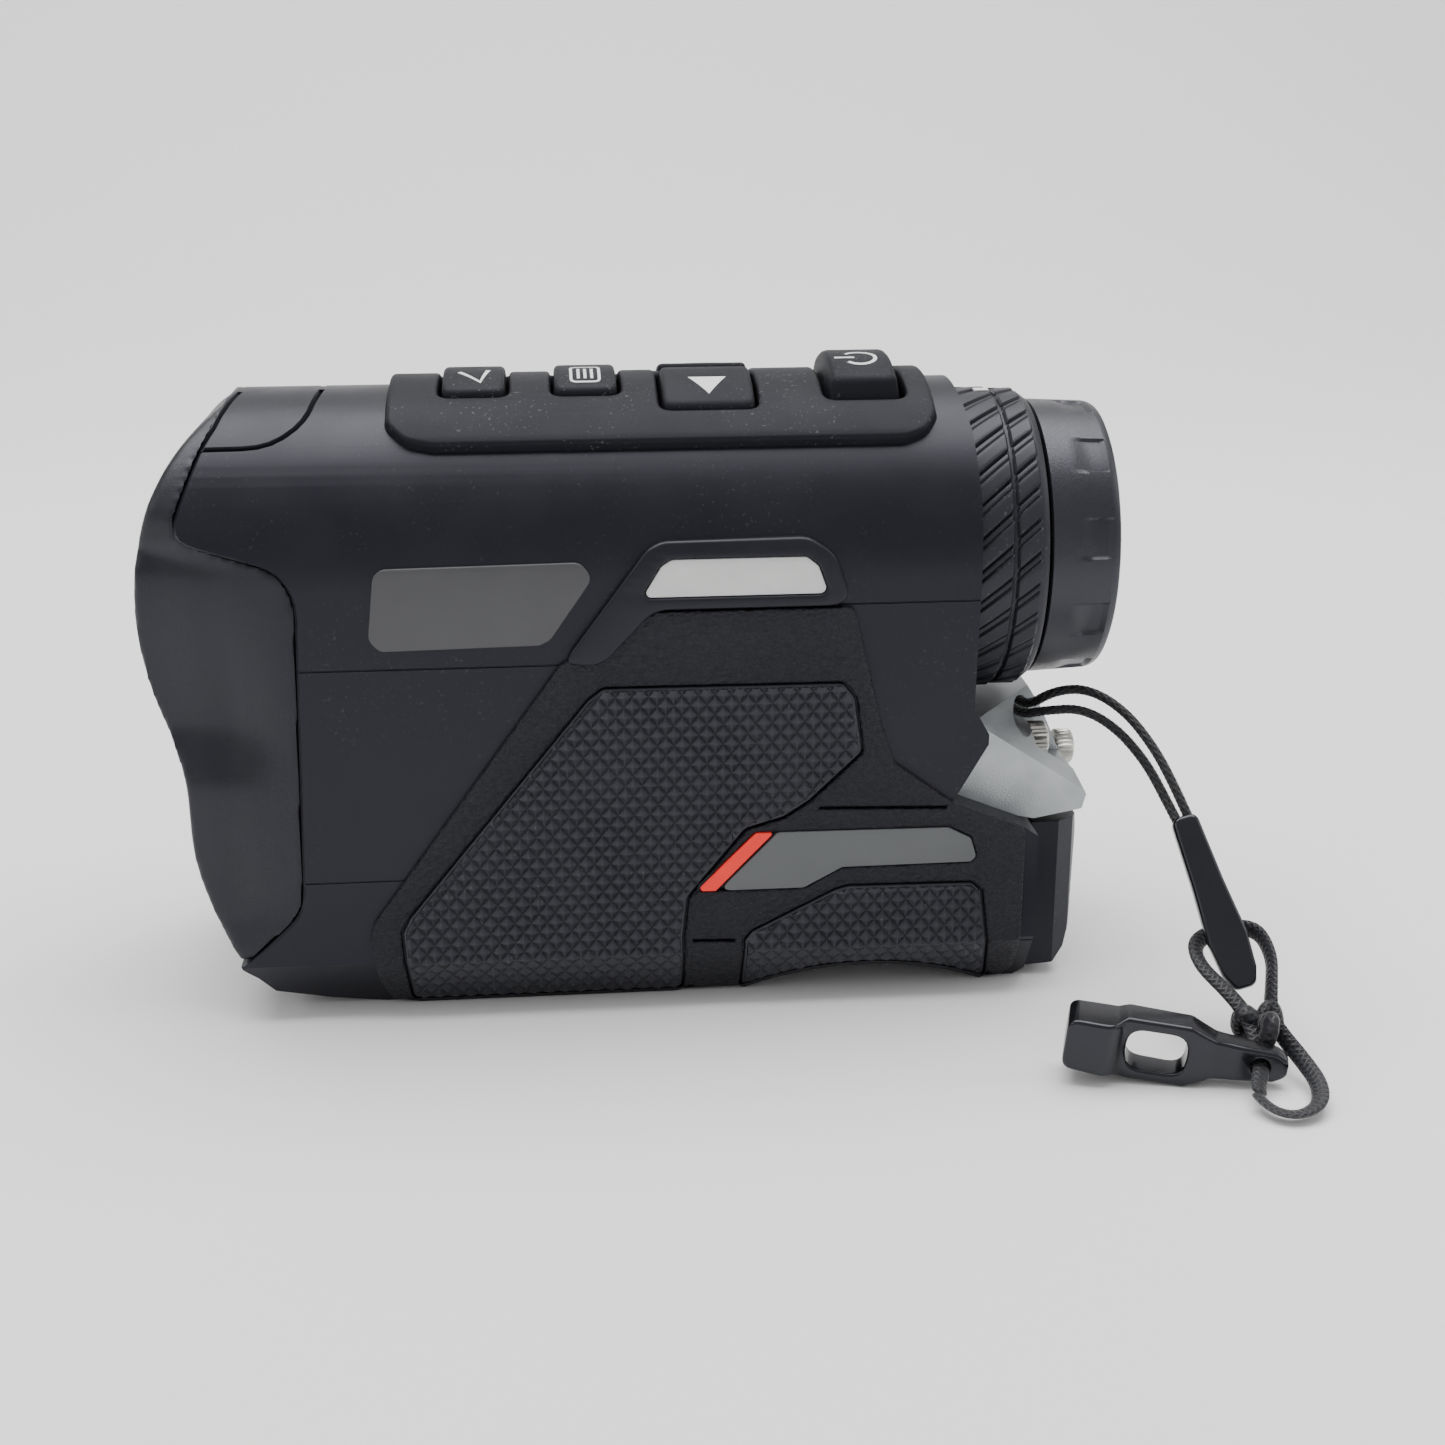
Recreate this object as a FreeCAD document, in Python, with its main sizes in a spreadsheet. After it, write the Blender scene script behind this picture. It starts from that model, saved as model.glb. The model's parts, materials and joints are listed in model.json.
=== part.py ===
import FreeCAD, Part
import math
import os
import re
import Sketcher

# Handheld laser rangefinder with a wrist lanyard, in millimetres.
# +X is the eyepiece end, -X the lens end, +Z up, the origin under the middle of the body.

DIMENSIONS = {
    # overall
    "body_length": 138.4,
    "body_height": 88.5,
    "half_width": 24.2,
    "foot_half_width": 18.0,
    "foot_height": 9.0,
    "wall": 2.4,
    "arch_height": 4.5,
    "arch_half_span": 18.0,
    "arch_floor": 7.0,
    # front optics
    "objective_radius": 17.0,
    "receiver_radius": 12.5,
    "receiver_height": 25.5,
    "lens_thickness": 4.0,
    "lens_inset": 10.0,
    "retainer_width": 1.6,
    "retainer_thickness": 1.4,
    # keypad
    "pad_thickness": 1.5,
    "pad_half_width": 19.2,
    "key_rise": 0.9,
    "fire_key_rise": 2.5,
    "key_travel": 0.8,
    "key_gap": 0.25,
    "key_length": 9.5,
    "key_half_width": 9.0,
    "arrow_key_length": 13.7,
    "arrow_key_width": 11.8,
    "arrow_key_split": 0.7,
    "fire_key_length": 11.4,
    "fire_key_half_width": 11.0,
    "key_depth": 5.3,
    "dome_height": 0.35,
    "board_thickness": 1.4,
    # eyepiece
    "tube_radius": 18.5,
    "tube_bore": 13.0,
    "tube_nose_radius": 15.0,
    "ring_radius": 22.4,
    "ring_front_length": 7.6,
    "ring_rear_length": 3.6,
    "ring_band_length": 1.1,
    "ring_groove": 0.5,
    "ring_inset": 23.6,
    "eyecup_radius": 20.6,
    "eyecup_length": 10.3,
    "eyecup_opening": 13.6,
    "eyecup_lip": 2.2,
    "guide_wall": 1.4,
    "running_gap": 0.06,
    "part_gap": 0.4,
    "cell_wall": 1.6,
    "cell_length": 12.0,
    "ocular_thickness": 3.6,
    # skins on the sides
    "grip_rise": 1.0,
    "diamond_rise": 1.4,
    "label_rise": 1.2,
    "badge_rise": 0.6,
    "plate_rise": 1.0,
    # rear
    "door_thickness": 7.8,
    "door_half_width": 18.5,
    "door_wall": 2.2,
    "door_gap": 0.3,
    "pin_radius": 0.9,
    "latch_travel": 2.0,
    "bracket_half_width": 19.0,
    "window_radius": 1.9,
    "screw_head_radius": 2.75,
    "screw_head_length": 2.9,
    "screw_shank_radius": 1.5,
    "cell_radius": 7.2,
    "battery_length": 50.0,
    "box_wall": 1.0,
    # tripod socket
    "socket_radius": 3.175,
    "socket_depth": 8.0,
    "insert_radius": 5.0,
    # lanyard
    "cord_diameter": 1.4,
    "strap_diameter": 1.7,
}

LENGTH = DIMENSIONS["body_length"]
HEIGHT = DIMENSIONS["body_height"]
document = FreeCAD.newDocument("rangefinder")
sheet = document.addObject("Spreadsheet::Sheet", "Sizes")
for row, (alias, value) in enumerate(DIMENSIONS.items(), start=1):
    sheet.set("A%d" % row, alias)
    sheet.set("B%d" % row, str(value))
    sheet.setAlias("B%d" % row, alias)
document.recompute()

TURNS = {
    "X": FreeCAD.Rotation(FreeCAD.Vector(0, 1, 0), 90),
    "Y": FreeCAD.Rotation(FreeCAD.Vector(1, 0, 0), -90),
    "Z": FreeCAD.Rotation(),
}
AXIS = "(body_height - half_width)"
nodes = []


def sized(text):
    """Turn the names in a formula into references to the sheet."""
    return re.sub(r"[a-z_]+", lambda word: "Sizes." + word.group(0), str(text))


def along(place):
    """A place along the body, which stretches with its length."""
    return "%s * body_length / %s" % (place, 138.4)


def above(place):
    """A height on the body, which stretches with its height."""
    return "%s * body_height / %s" % (place, 88.5)


def stretched(points):
    return [(along(x), above(z)) for x, z in points]


def bind(thing, sizes):
    for path, text in sizes.items():
        thing.setExpression(path, sized(text))
    return thing


def placed(thing, corner, axis="Z"):
    thing.Placement = FreeCAD.Placement(FreeCAD.Vector(), TURNS[axis])
    names = ["Placement.Base.x", "Placement.Base.y", "Placement.Base.z"]
    return bind(thing, dict(zip(names, corner)))


def box(name, corner, size):
    thing = document.addObject("Part::Box", name)
    bind(thing, dict(zip(["Length", "Width", "Height"], size)))
    return placed(thing, corner)


def cylinder(name, axis, start, radius, length):
    thing = document.addObject("Part::Cylinder", name)
    bind(thing, {"Radius": radius, "Height": length})
    return placed(thing, start, axis)


def cone(name, axis, start, first, second, length):
    thing = document.addObject("Part::Cone", name)
    bind(thing, {"Radius1": first, "Radius2": second, "Height": length})
    return placed(thing, start, axis)


def fuse(name, *things):
    thing = document.addObject("Part::MultiFuse", name)
    thing.Shapes = list(things)
    return thing


def common(name, *things):
    thing = document.addObject("Part::MultiCommon", name)
    thing.Shapes = list(things)
    return thing


def cut(name, base, *tools):
    thing = document.addObject("Part::Cut", name)
    thing.Base = base
    thing.Tool = tools[0] if len(tools) == 1 else fuse(name + "_tools", *tools)
    return thing


def prism(name, plane, points, start, length):
    """A pad of a closed outline. XZ outlines grow towards -Y, YZ towards +X and XY towards +Z."""
    body = document.addObject("PartDesign::Body", name)
    sketch = body.newObject("Sketcher::SketchObject", name + "_outline")
    role = plane + "_Plane"
    sketch.AttachmentSupport = [(face, "") for face in body.Origin.OriginFeatures if face.Role == role]
    sketch.MapMode = "FlatFace"
    sketch.setExpression("AttachmentOffset.Base.z", sized(start))
    count = len(points)
    corners = [
        FreeCAD.Vector(10 * math.cos(2 * math.pi * i / count), 10 * math.sin(2 * math.pi * i / count), 0)
        for i in range(count)
    ]
    for i in range(count):
        sketch.addGeometry(Part.LineSegment(corners[i], corners[(i + 1) % count]), False)
    for i in range(count):
        sketch.addConstraint(Sketcher.Constraint("Coincident", i, 2, (i + 1) % count, 1))
    for i, (across, up) in enumerate(points):
        for kind, text, value in (("DistanceX", across, corners[i].x), ("DistanceY", up, corners[i].y)):
            index = sketch.addConstraint(Sketcher.Constraint(kind, -1, 1, i, 1, value))
            sketch.setExpression("Constraints[%d]" % index, sized(text))
    pad = body.newObject("PartDesign::Pad", name + "_pad")
    pad.Profile = sketch
    bind(pad, {"Length": length})
    return body


def node(thing, label):
    thing.Label = label
    nodes.append(thing)
    return thing


def number(alias):
    return float(sheet.get(alias))


# ---------------------------------------------------------------- the body's outer form

REACH = "(body_length / 2 + 2)"
SPAN = "(body_length + 4)"


def section(name, rise, floor="0"):
    """The body's cross-section run along its length: a round top on straight sides and a narrowed foot."""
    side = "(half_width + %s)" % rise
    foot = "(foot_half_width + %s)" % rise
    outline = [
        ("-" + side, AXIS),
        ("-" + side, "foot_height"),
        ("-" + foot, floor),
        (foot, floor),
        (side, "foot_height"),
        (side, AXIS),
    ]
    sides = prism(name + "_sides", "YZ", outline, "-" + REACH, SPAN)
    crown = cylinder(name + "_crown", "X", ("-" + REACH, "0", AXIS), side, SPAN)
    return fuse(name, sides, crown)


def front_profile():
    """The whole side view: a curved front drawn through a few points, and straight edges."""
    stretch = number("body_length") / 138.4
    lift = number("body_height") / 88.5
    curve = [(-56.0, 6.5), (-62.6, 17.5), (-64.3, 28.0), (-64.3, 35.5), (-67.5, 46.5),
             (-69.2, 60.0), (-67.0, 74.0), (-61.6, 83.8), (-55.5, 88.5)]
    straight = [(47.0, 88.5), (47.9, 83.0), (48.2, 73.0), (48.0, 58.0), (47.7, 45.0), (50.0, 41.0),
                (50.0, 39.5), (46.0, 32.5), (44.8, 30.8), (56.0, 26.3), (58.0, 25.0), (58.0, 1.5),
                (56.5, 0.0), (-38.0, 0.0), (-46.5, 1.4), (-54.0, 3.4)]
    reach = number("half_width") + 4

    def point(place):
        return FreeCAD.Vector(place[0] * stretch, reach, place[1] * lift)

    spline = Part.BSplineCurve()
    spline.interpolate([point(place) for place in curve])
    corners = [point(place) for place in [curve[-1]] + straight + [curve[0]]]
    edges = [spline.toShape()]
    for first, second in zip(corners, corners[1:]):
        edges.append(Part.LineSegment(first, second).toShape())
    profile = document.addObject("Part::Feature", "side_profile")
    profile.Shape = Part.Face(Part.Wire(edges)).extrude(FreeCAD.Vector(0, -2 * reach, 0))
    profile.Placement = FreeCAD.Placement()
    return profile


arch_radius = "((arch_half_span ^ 2 + arch_height ^ 2) / (2 * arch_height))"


def arch(name):
    return cylinder(name, "Y", (along(33), "-half_width - 4", "arch_height - " + arch_radius),
                    arch_radius, "2 * half_width + 8")


form = section("form", "0")
envelope = cut("envelope", common("envelope_full", form, front_profile()), arch("arch_envelope"))

hollow_outline = [(-54, 5), (-40, 2.4), (12, 2.4), (12, 7), (57.9, 7), (57.9, 23.9), (54.5, 24.2),
                  (45, 28.5),
                  (42.6, 38), (42.6, 86.1), (-56, 86.1), (-58, 75), (-53, 60)]
hollow = common("hollow", section("hollow_form", "-wall", "wall"),
                prism("hollow_side", "XZ", stretched(hollow_outline), "-half_width", "2 * half_width"))
shell = cut("shell", envelope, hollow)

# parting lines in the side view
PARTING = [(-55.5, 90), (-58.9, 83.1), (-62.7, 73.7), (-61.8, 71.2), (-49.3, 67.5), (-46.8, 63.5),
           (-48.6, 18.5), (-50, 15.8), (-55.2, 11), (-58, 8.6), (-72, 8.6)]
DEEP = ("-half_width - 3", "2 * half_width + 6")


def softened(points, reach):
    """The same line with each inner corner replaced by a short curve."""
    out = [points[0]]
    for before, corner, after in zip(points, points[1:], points[2:]):
        ends = []
        for other in (before, after):
            span = math.hypot(other[0] - corner[0], other[1] - corner[1])
            share = min(reach, 0.45 * span) / span
            ends.append([c + share * (o - c) for c, o in zip(corner, other)])
        for t in (0, 0.33, 0.67, 1):
            weights = ((1 - t) ** 2, 2 * t * (1 - t), t ** 2)
            spots = (ends[0], corner, ends[1])
            out.append(tuple(round(sum(w * s[k] for w, s in zip(weights, spots)), 3) for k in (0, 1)))
    return out + [points[-1]]


def region(name, points):
    return prism(name, "XZ", stretched(points), *DEEP)


bezel_side = region("bezel_side", softened(PARTING, 2.6) + [(-72, 90)])
COVER = [(-61.3, 82.7), (-50.2, 82.8), (-45.6, 85.2), (-43.2, 89.3), (-42.5, 92)]
cover_side = region("cover_side", [(-57, 92)] + softened(COVER, 3.2))
upper_side = region("upper_side", [(-75, 92), (-75, 53.2), (0, 53.2), (8, 60.9), (60, 60.9), (60, 92)])
lower_side = region("lower_side", [(-75, 53.2), (-75, 21.7), (-33, 21.7), (-22, 8.2), (62, 8.2), (62, 60.9),
                                   (8, 60.9), (0, 53.2)])
foot_side = region("foot_side", [(-75, 21.7), (-75, -1), (62, -1), (62, 8.2), (-22, 8.2), (-33, 21.7)])

# ---------------------------------------------------------------- lenses and bezel

LENS_FACE = "(-body_length / 2 + lens_inset)"
RECEIVER = "(receiver_height * body_height / 88.5)"

plan_half = [("-body_length / 2 - 6", "-half_width + 5"), (along(-66), "-half_width + 3.2"),
             (along(-61), "-half_width + 1.9"), (along(-55), "-half_width + 0.9"),
             (along(-49), "-half_width + 0.35"), (along(-40), "-half_width + 0.3")]
plan_other = [(x, "-(%s)" % y) for x, y in reversed(plan_half)]
bezel_plan = prism("bezel_plan", "XY", plan_half + plan_other, "-1", "body_height + 4")
bezel_full = common("bezel_full", envelope, bezel_side, bezel_plan)
bezel_back = common("bezel_back", section("bezel_hollow", "-wall", "wall"),
                    box("bezel_back_box", ("%s + lens_thickness + 2" % LENS_FACE, "-half_width", "0"),
                        (along(20), "2 * half_width", "body_height")))
bezel_cuts = [
    cylinder("objective_bore", "X", ("-" + REACH, "0", AXIS), "objective_radius", along(30)),
    cylinder("receiver_bore", "X", ("-" + REACH, "0", RECEIVER), "receiver_radius", along(30)),
]
for side in (-1, 1):
    bezel_cuts.append(cone("waist_%d" % (side + 1), "X",
                           ("-" + REACH, "%d * (half_width + 4.5)" % side, above(37.5)), "9", "0.5",
                           along(24)))
node(cut("bezel_part", bezel_full, bezel_back, *bezel_cuts), "bezel")

for name, radius, height in (("objective", "objective_radius", AXIS),
                             ("receiving", "receiver_radius", RECEIVER)):
    node(cylinder(name + "_glass", "X", (LENS_FACE, "0", height), radius, "lens_thickness"), name + "_lens")
    outer = cylinder(name + "_ring_outer", "X", ("%s - retainer_thickness" % LENS_FACE, "0", height), radius,
                     "retainer_thickness")
    inner = cylinder(name + "_ring_inner", "X", ("%s - retainer_thickness" % LENS_FACE, "0", height),
                     radius + " - retainer_width", "retainer_thickness")
    node(cut(name + "_ring_part", outer, inner), name + "_ring")

BARREL_START = "(%s + lens_thickness)" % LENS_FACE
barrel_outer = cylinder("barrel_outer", "X", (BARREL_START, "0", AXIS), "objective_radius - 0.3", along(22))
barrel_inner = cylinder("barrel_inner", "X", (BARREL_START, "0", AXIS), "objective_radius - 1.7", along(22))
node(cut("barrel_part", barrel_outer, barrel_inner), "objective_barrel")
node(cylinder("emitter_part", "X", (BARREL_START, "0", RECEIVER), "receiver_radius - 7", along(18)),
     "laser_emitter")
node(box("prism_part", (along(-20), "-12", AXIS + " - 12"), (along(38), "24", "24")), "prism_block")
node(box("board_part", (along(-38), "half_width - wall - 3.6", above(29)), (along(74), "1.6", above(30))),
     "main_board")

# ---------------------------------------------------------------- keypad

PAD_TOP = "(half_width + pad_thickness)"
KEY_FLOOR = "(body_height - key_depth)"
keys = {
    "key_select": (along(-22), "key_length", "-key_half_width", "2 * key_half_width", "key_rise"),
    "key_menu": (along(-6.2), "key_length", "-key_half_width", "2 * key_half_width", "key_rise"),
    "key_up": (along(11), "arrow_key_length", "-arrow_key_split - arrow_key_width", "arrow_key_width",
               "key_rise"),
    "key_down": (along(11), "arrow_key_length", "arrow_key_split", "arrow_key_width", "key_rise"),
    "key_fire": (along(33.3), "fire_key_length", "-fire_key_half_width", "2 * fire_key_half_width",
                 "fire_key_rise"),
}
pad_windows = []
housing_windows = []
domes = []
for name, (middle, length, near, width, rise) in keys.items():
    block = box(name + "_block", ("%s - %s / 2" % (middle, length), near, KEY_FLOOR), (length, width, "20"))
    crown = cylinder(name + "_crown", "X", ("-" + REACH, "0", AXIS), "%s + %s" % (PAD_TOP, rise), SPAN)
    node(common(name + "_part", block, crown), name)
    for group, prefix in ((pad_windows, "pad"), (housing_windows, "top")):
        corner = ("%s - %s / 2 - key_gap" % (middle, length), near + " - key_gap", KEY_FLOOR + " - 4")
        group.append(box("%s_%s" % (prefix, name), corner,
                         (length + " + 2 * key_gap", width + " + 2 * key_gap", "30")))
    domes.append(cylinder(name + "_dome", "Z",
                          (middle, "%s + %s / 2" % (near, width),
                           KEY_FLOOR + " - key_travel - dome_height - 0.1"),
                          "2.4", "dome_height"))

pad_sleeve = cut("pad_sleeve", cylinder("pad_outer", "X", (along(-34.3), "0", AXIS), PAD_TOP, along(77.6)),
                 cylinder("pad_inner", "X", (along(-35), "0", AXIS), "half_width", along(79)))
pad_outline = [(along(-34.3), "-pad_half_width + 4.5"), (along(-31.5), "-pad_half_width + 1"),
               (along(-28), "-pad_half_width"), (along(38), "-pad_half_width"),
               (along(41), "-pad_half_width + 1"), (along(43.3), "-pad_half_width + 4"),
               (along(43.3), "pad_half_width - 4"), (along(41), "pad_half_width - 1"),
               (along(38), "pad_half_width"), (along(-28), "pad_half_width"),
               (along(-31.5), "pad_half_width - 1"), (along(-34.3), "pad_half_width - 4.5")]
pad_plan = prism("pad_plan", "XY", pad_outline, AXIS, "half_width + 8")
node(cut("key_pad_part", common("pad_full", pad_sleeve, pad_plan), *pad_windows), "key_pad")

BOARD_TOP = KEY_FLOOR + " - key_travel - dome_height - 0.1"
key_board = box("key_board_plate", (along(-31), "-9.5", BOARD_TOP + " - board_thickness"),
                (along(72), "19", "board_thickness"))
node(fuse("key_board_part", key_board, *domes), "key_board")

# ---------------------------------------------------------------- housing

RING_START = "(body_length / 2 - ring_inset)"
RING_LENGTH = "(ring_front_length + ring_rear_length + ring_band_length + ring_groove)"
nose_bore = cylinder("nose_bore", "X", ("-" + REACH, "0", AXIS), "objective_radius", along(30))
tube_hole = cylinder("tube_hole", "X", (RING_START + " - 5", "0", AXIS), "tube_radius", "12")
ring_recess = cylinder("ring_recess", "X", (RING_START + " - part_gap", "0", AXIS),
                       "ring_radius + part_gap", "20")
PIVOT = (along(59.9), "door_half_width - 1.5")
hinge_relief = cylinder("hinge_relief", "Z", (PIVOT[0], PIVOT[1], "-1"), "3.7", above(26.4))

upper_full = common("upper_full", shell, upper_side)
node(cut("upper_part", upper_full, bezel_side, cover_side, nose_bore, tube_hole, ring_recess,
         *housing_windows),
     "housing_upper")
lower_full = common("lower_full", shell, lower_side)
battery_mouth = box("battery_mouth", (along(50), "-cell_radius * 2 - 2.2", above(8.4)),
                    (along(12), "cell_radius * 4 + 4.4", above(15.4)))
node(cut("lower_part", lower_full, bezel_side, tube_hole, ring_recess, hinge_relief, battery_mouth),
     "housing_lower")
node(cut("cover_part", common("cover_full", shell, cover_side), bezel_side), "front_cover")

insert_hole = cylinder("insert_hole", "Z", (along(-12), "0", "-1"), "insert_radius", "socket_depth + 10")
foot_full = common("foot_full", shell, foot_side)
foot_cut = cut("foot_cut", foot_full, bezel_side, hinge_relief, insert_hole)
lug_block = box("lug_block", (along(56.3), PIVOT[1] + " - 1.8", "0.2"),
                (PIVOT[0] + " - %s + 1.8" % along(56.3), "3.6", "1.1"))
node(cut("foot_part", fuse("foot_lugged", foot_cut, lug_block),
         cylinder("lug_hole", "Z", (PIVOT[0], PIVOT[1], "-1"), "pin_radius", "4")), "base_cover")
node(cut("insert_part", cylinder("insert_outer", "Z", (along(-12), "0", "0"), "insert_radius",
                                 "socket_depth + 1.5"),
         cylinder("insert_bore", "Z", (along(-12), "0", "0"), "socket_radius", "socket_depth")),
         "tripod_insert")

# ---------------------------------------------------------------- eyepiece

tube_base = cylinder("tube_base", "X", (RING_START + " - part_gap - 1.5", "0", AXIS), "tube_radius",
                     RING_LENGTH + " + part_gap + 1.5")
tube_nose = cylinder("tube_nose", "X", (RING_START, "0", AXIS), "tube_nose_radius",
                     "ring_inset - eyecup_lip - 1.2")
tube_bore = cylinder("tube_bore_cut", "X", (RING_START + " - 10", "0", AXIS), "tube_bore", "ring_inset + 20")
node(cut("tube_part", fuse("tube_full", tube_base, tube_nose), tube_bore), "eyepiece_tube")

ring_blank = fuse(
    "ring_blank",
    cylinder("ring_front_row", "X", (RING_START, "0", AXIS), "ring_radius", "ring_front_length"),
    cylinder("ring_core", "X", (RING_START, "0", AXIS), "ring_radius - 0.8", RING_LENGTH),
    cylinder("ring_rear_row", "X", (RING_START + " + ring_front_length + ring_groove", "0", AXIS),
             "ring_radius - 0.2", "ring_rear_length"))
node(cut("ring_part", ring_blank,
         cylinder("ring_bore", "X", (RING_START + " - 1", "0", AXIS), "tube_radius + running_gap", "20")),
     "dioptre_ring")

CELL_START = "(body_length / 2 - 17.5)"
cell_outer = cylinder("cell_outer", "X", (CELL_START, "0", AXIS), "tube_bore - running_gap", "cell_length")
cell_inner = cylinder("cell_inner", "X", (CELL_START, "0", AXIS), "tube_bore - cell_wall", "cell_length")
node(cut("ocular_cell_part", cell_outer, cell_inner), "ocular_cell")
node(cylinder("ocular_glass", "X", (CELL_START + " + cell_length - ocular_thickness - 1", "0", AXIS),
              "tube_bore - cell_wall", "ocular_thickness"), "ocular_lens")

GUIDE_START = "(body_length / 2 - eyecup_length + part_gap)"
GUIDE_RADIUS = "(tube_nose_radius + running_gap + guide_wall)"
GUIDE_LENGTH = "(eyecup_length - eyecup_lip - 2 * part_gap)"
node(cut("guide_part",
         cylinder("guide_outer", "X", (GUIDE_START, "0", AXIS), GUIDE_RADIUS, GUIDE_LENGTH),
         cylinder("guide_inner", "X", (GUIDE_START, "0", AXIS), "tube_nose_radius + running_gap",
                  GUIDE_LENGTH)),
     "eyecup_guide")
EYECUP_START = "(body_length / 2 - eyecup_length)"
eyecup_wall = cone("eyecup_outer", "X", (EYECUP_START, "0", AXIS), "eyecup_radius", "eyecup_radius - 0.5",
                   "eyecup_length")
eyecup_bore = cylinder("eyecup_bore", "X", (EYECUP_START + " - 1", "0", AXIS),
                       GUIDE_RADIUS + " + running_gap",
                       "eyecup_length - eyecup_lip + 1")
eyecup_mouth = cone("eyecup_mouth", "X", ("body_length / 2 - eyecup_lip - 0.5", "0", AXIS),
                    "eyecup_opening", "eyecup_opening + 2.7", "eyecup_lip + 1")
node(cut("eyecup_part", eyecup_wall, eyecup_bore, eyecup_mouth), "eyecup")

# ---------------------------------------------------------------- grips, pads and labels on both sides

GRIP = [(-37.1, 0.4), (-38.7, 5.2), (-39.5, 12.7), (-38.9, 15.4), (-11.2, 53.4), (2.2, 60.8), (30.2, 60.8),
        (34.4, 43.1), (36.4, 37.4), (44.7, 32.7), (55.9, 27.3), (55.9, 2.4), (54, 0.4)]
LARGE_PAD = [(-5.3, 50.1), (-7.6, 48.3), (-33.9, 16.2), (-35, 13.9), (-34.3, 0.4), (6.1, 0.4), (5.9, 11.4),
             (7.6, 16), (17.6, 27.2), (24.1, 31.3), (31.8, 39.2), (30.6, 47.6), (28.8, 49.9)]
SMALL_PAD = [(14.4, 0.4), (14.4, 10.7), (15.6, 12.2), (27.7, 18.3), (29.8, 18.9), (48.3, 18.7), (49.8, 17.2),
             (52, 0.4)]
NAME_PLATE = [(20.4, 27.6), (44.4, 27.4), (47.8, 25.6), (48.7, 22.6), (47.9, 21.7), (28.9, 21.6),
              (23.3, 18.6),
              (11.7, 18.6)]
ACCENT = [(16.2, 27.6), (19.2, 27.6), (10.5, 18.6), (8.3, 18.6), (8.0, 19.4)]
TRIM = [(-11.2, 53.4), (1, 69.6), (3.3, 70.7), (23.6, 70.9), (27.3, 68.6), (30.2, 60.8), (2.2, 60.8),
        (-5.2, 53.0)]
PLATE = [(3.1, 67.2), (4.6, 68.1), (23.3, 68.1), (25, 66.8), (26.2, 63.5), (25.6, 62.7), (1.3, 62.7),
         (0.8, 63.5)]
BADGE = [(-34.9, 67.5), (-7.9, 67.8), (-6.2, 65.6), (-12.2, 57.0), (-13.7, 56.2), (-35.8, 55.9),
         (-37.2, 57.7), (-36.1, 66.5)]

layers = {}
for rise in ("grip_rise", "diamond_rise", "label_rise", "badge_rise", "plate_rise"):
    outer = cut("layer_%s_arched" % rise, section("layer_" + rise, rise), arch("arch_" + rise))
    layers[rise] = cut("layer_%s_hollow" % rise, outer, form)


def half(name, points, side):
    """An outline as deep as one side of the body."""
    start = "0" if side == "left" else "-half_width - 3"
    return prism("%s_%s_side" % (name, side), "XZ", stretched(points), start, "half_width + 3")


for side in ("left", "right"):
    outlines = {name: half(name, points, side) for name, points in (
        ("large_pad", LARGE_PAD), ("small_pad", SMALL_PAD), ("name_plate", NAME_PLATE), ("accent", ACCENT),
        ("trim", TRIM), ("plate", PLATE), ("badge", BADGE), ("grip", GRIP))}
    grip = common("grip_full_" + side, layers["grip_rise"], outlines["grip"])
    holes = [outlines[name] for name in ("large_pad", "small_pad", "name_plate", "accent", "trim")]
    node(cut("grip_part_" + side, grip, *holes), "grip_" + side)
    trim = common("trim_full_" + side, layers["label_rise"], outlines["trim"])
    node(cut("trim_part_" + side, trim, outlines["plate"]), "trim_" + side)
    for name, rise in (("large_pad", "diamond_rise"), ("small_pad", "diamond_rise"),
                       ("name_plate", "label_rise"),
                       ("accent", "label_rise"), ("plate", "plate_rise"), ("badge", "badge_rise")):
        skin = common("%s_part_%s" % (name, side), layers[rise], outlines[name])
        if name == "large_pad":
            skin = cut("large_pad_cut_" + side, skin, outlines["accent"], outlines["name_plate"])
        node(skin, "%s_%s" % (name, side))

# ---------------------------------------------------------------- lanyard bracket and its screws

BRACKET_TOP = AXIS + " - ring_radius - 0.7"
bracket_outline = [("50 * body_length / 138.4", BRACKET_TOP)] + stretched(
    [(50, 39.5), (46, 32.5), (44.8, 30.8), (56, 26.3), (58.4, 25.8), (65.6, 27.1), (66.2, 29.3),
     (62.2, 38.6)]
) + [(along(60.8), BRACKET_TOP)]
bracket_block = prism("bracket_block", "XZ", bracket_outline, "-bracket_half_width",
                      "2 * bracket_half_width")
facets = []
for side in (-1, 1):
    facet = document.addObject("Part::Box", "facet_%d" % (side + 1))
    bind(facet, {"Length": "60", "Width": "60", "Height": "30"})
    slope = FreeCAD.Vector(0.511, 0.364 * side, 0.779)
    turn = FreeCAD.Rotation(FreeCAD.Vector(0, 0, 1), slope)
    offset = turn.multVec(FreeCAD.Vector(-30, -30, 0))
    facet.Placement = FreeCAD.Placement(FreeCAD.Vector(), turn)
    bind(facet, {"Placement.Base.x": "%s + %f" % (along(51.5), offset.x),
                 "Placement.Base.y": "%d * bracket_half_width + %f" % (side, offset.y),
                 "Placement.Base.z": "%s + %f" % (above(39.4), offset.z)})
    facets.append(facet)
WINDOW = (along(58.3), above(39.0))
window = cylinder("window", "Y", (WINDOW[0], "-bracket_half_width", WINDOW[1]), "window_radius",
                  "2 * bracket_half_width")
near_notch = box("near_notch", (along(59.2), "-15.5", above(31.8)), (along(20), "9.6", above(20)))
far_hole = cylinder("far_hole", "X", (along(54), "1.5", above(29.8)), "screw_shank_radius", along(20))
near_hole = cylinder("near_hole", "X", (along(52), "-9.6", above(35.0)), "screw_shank_radius", along(20))
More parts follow.
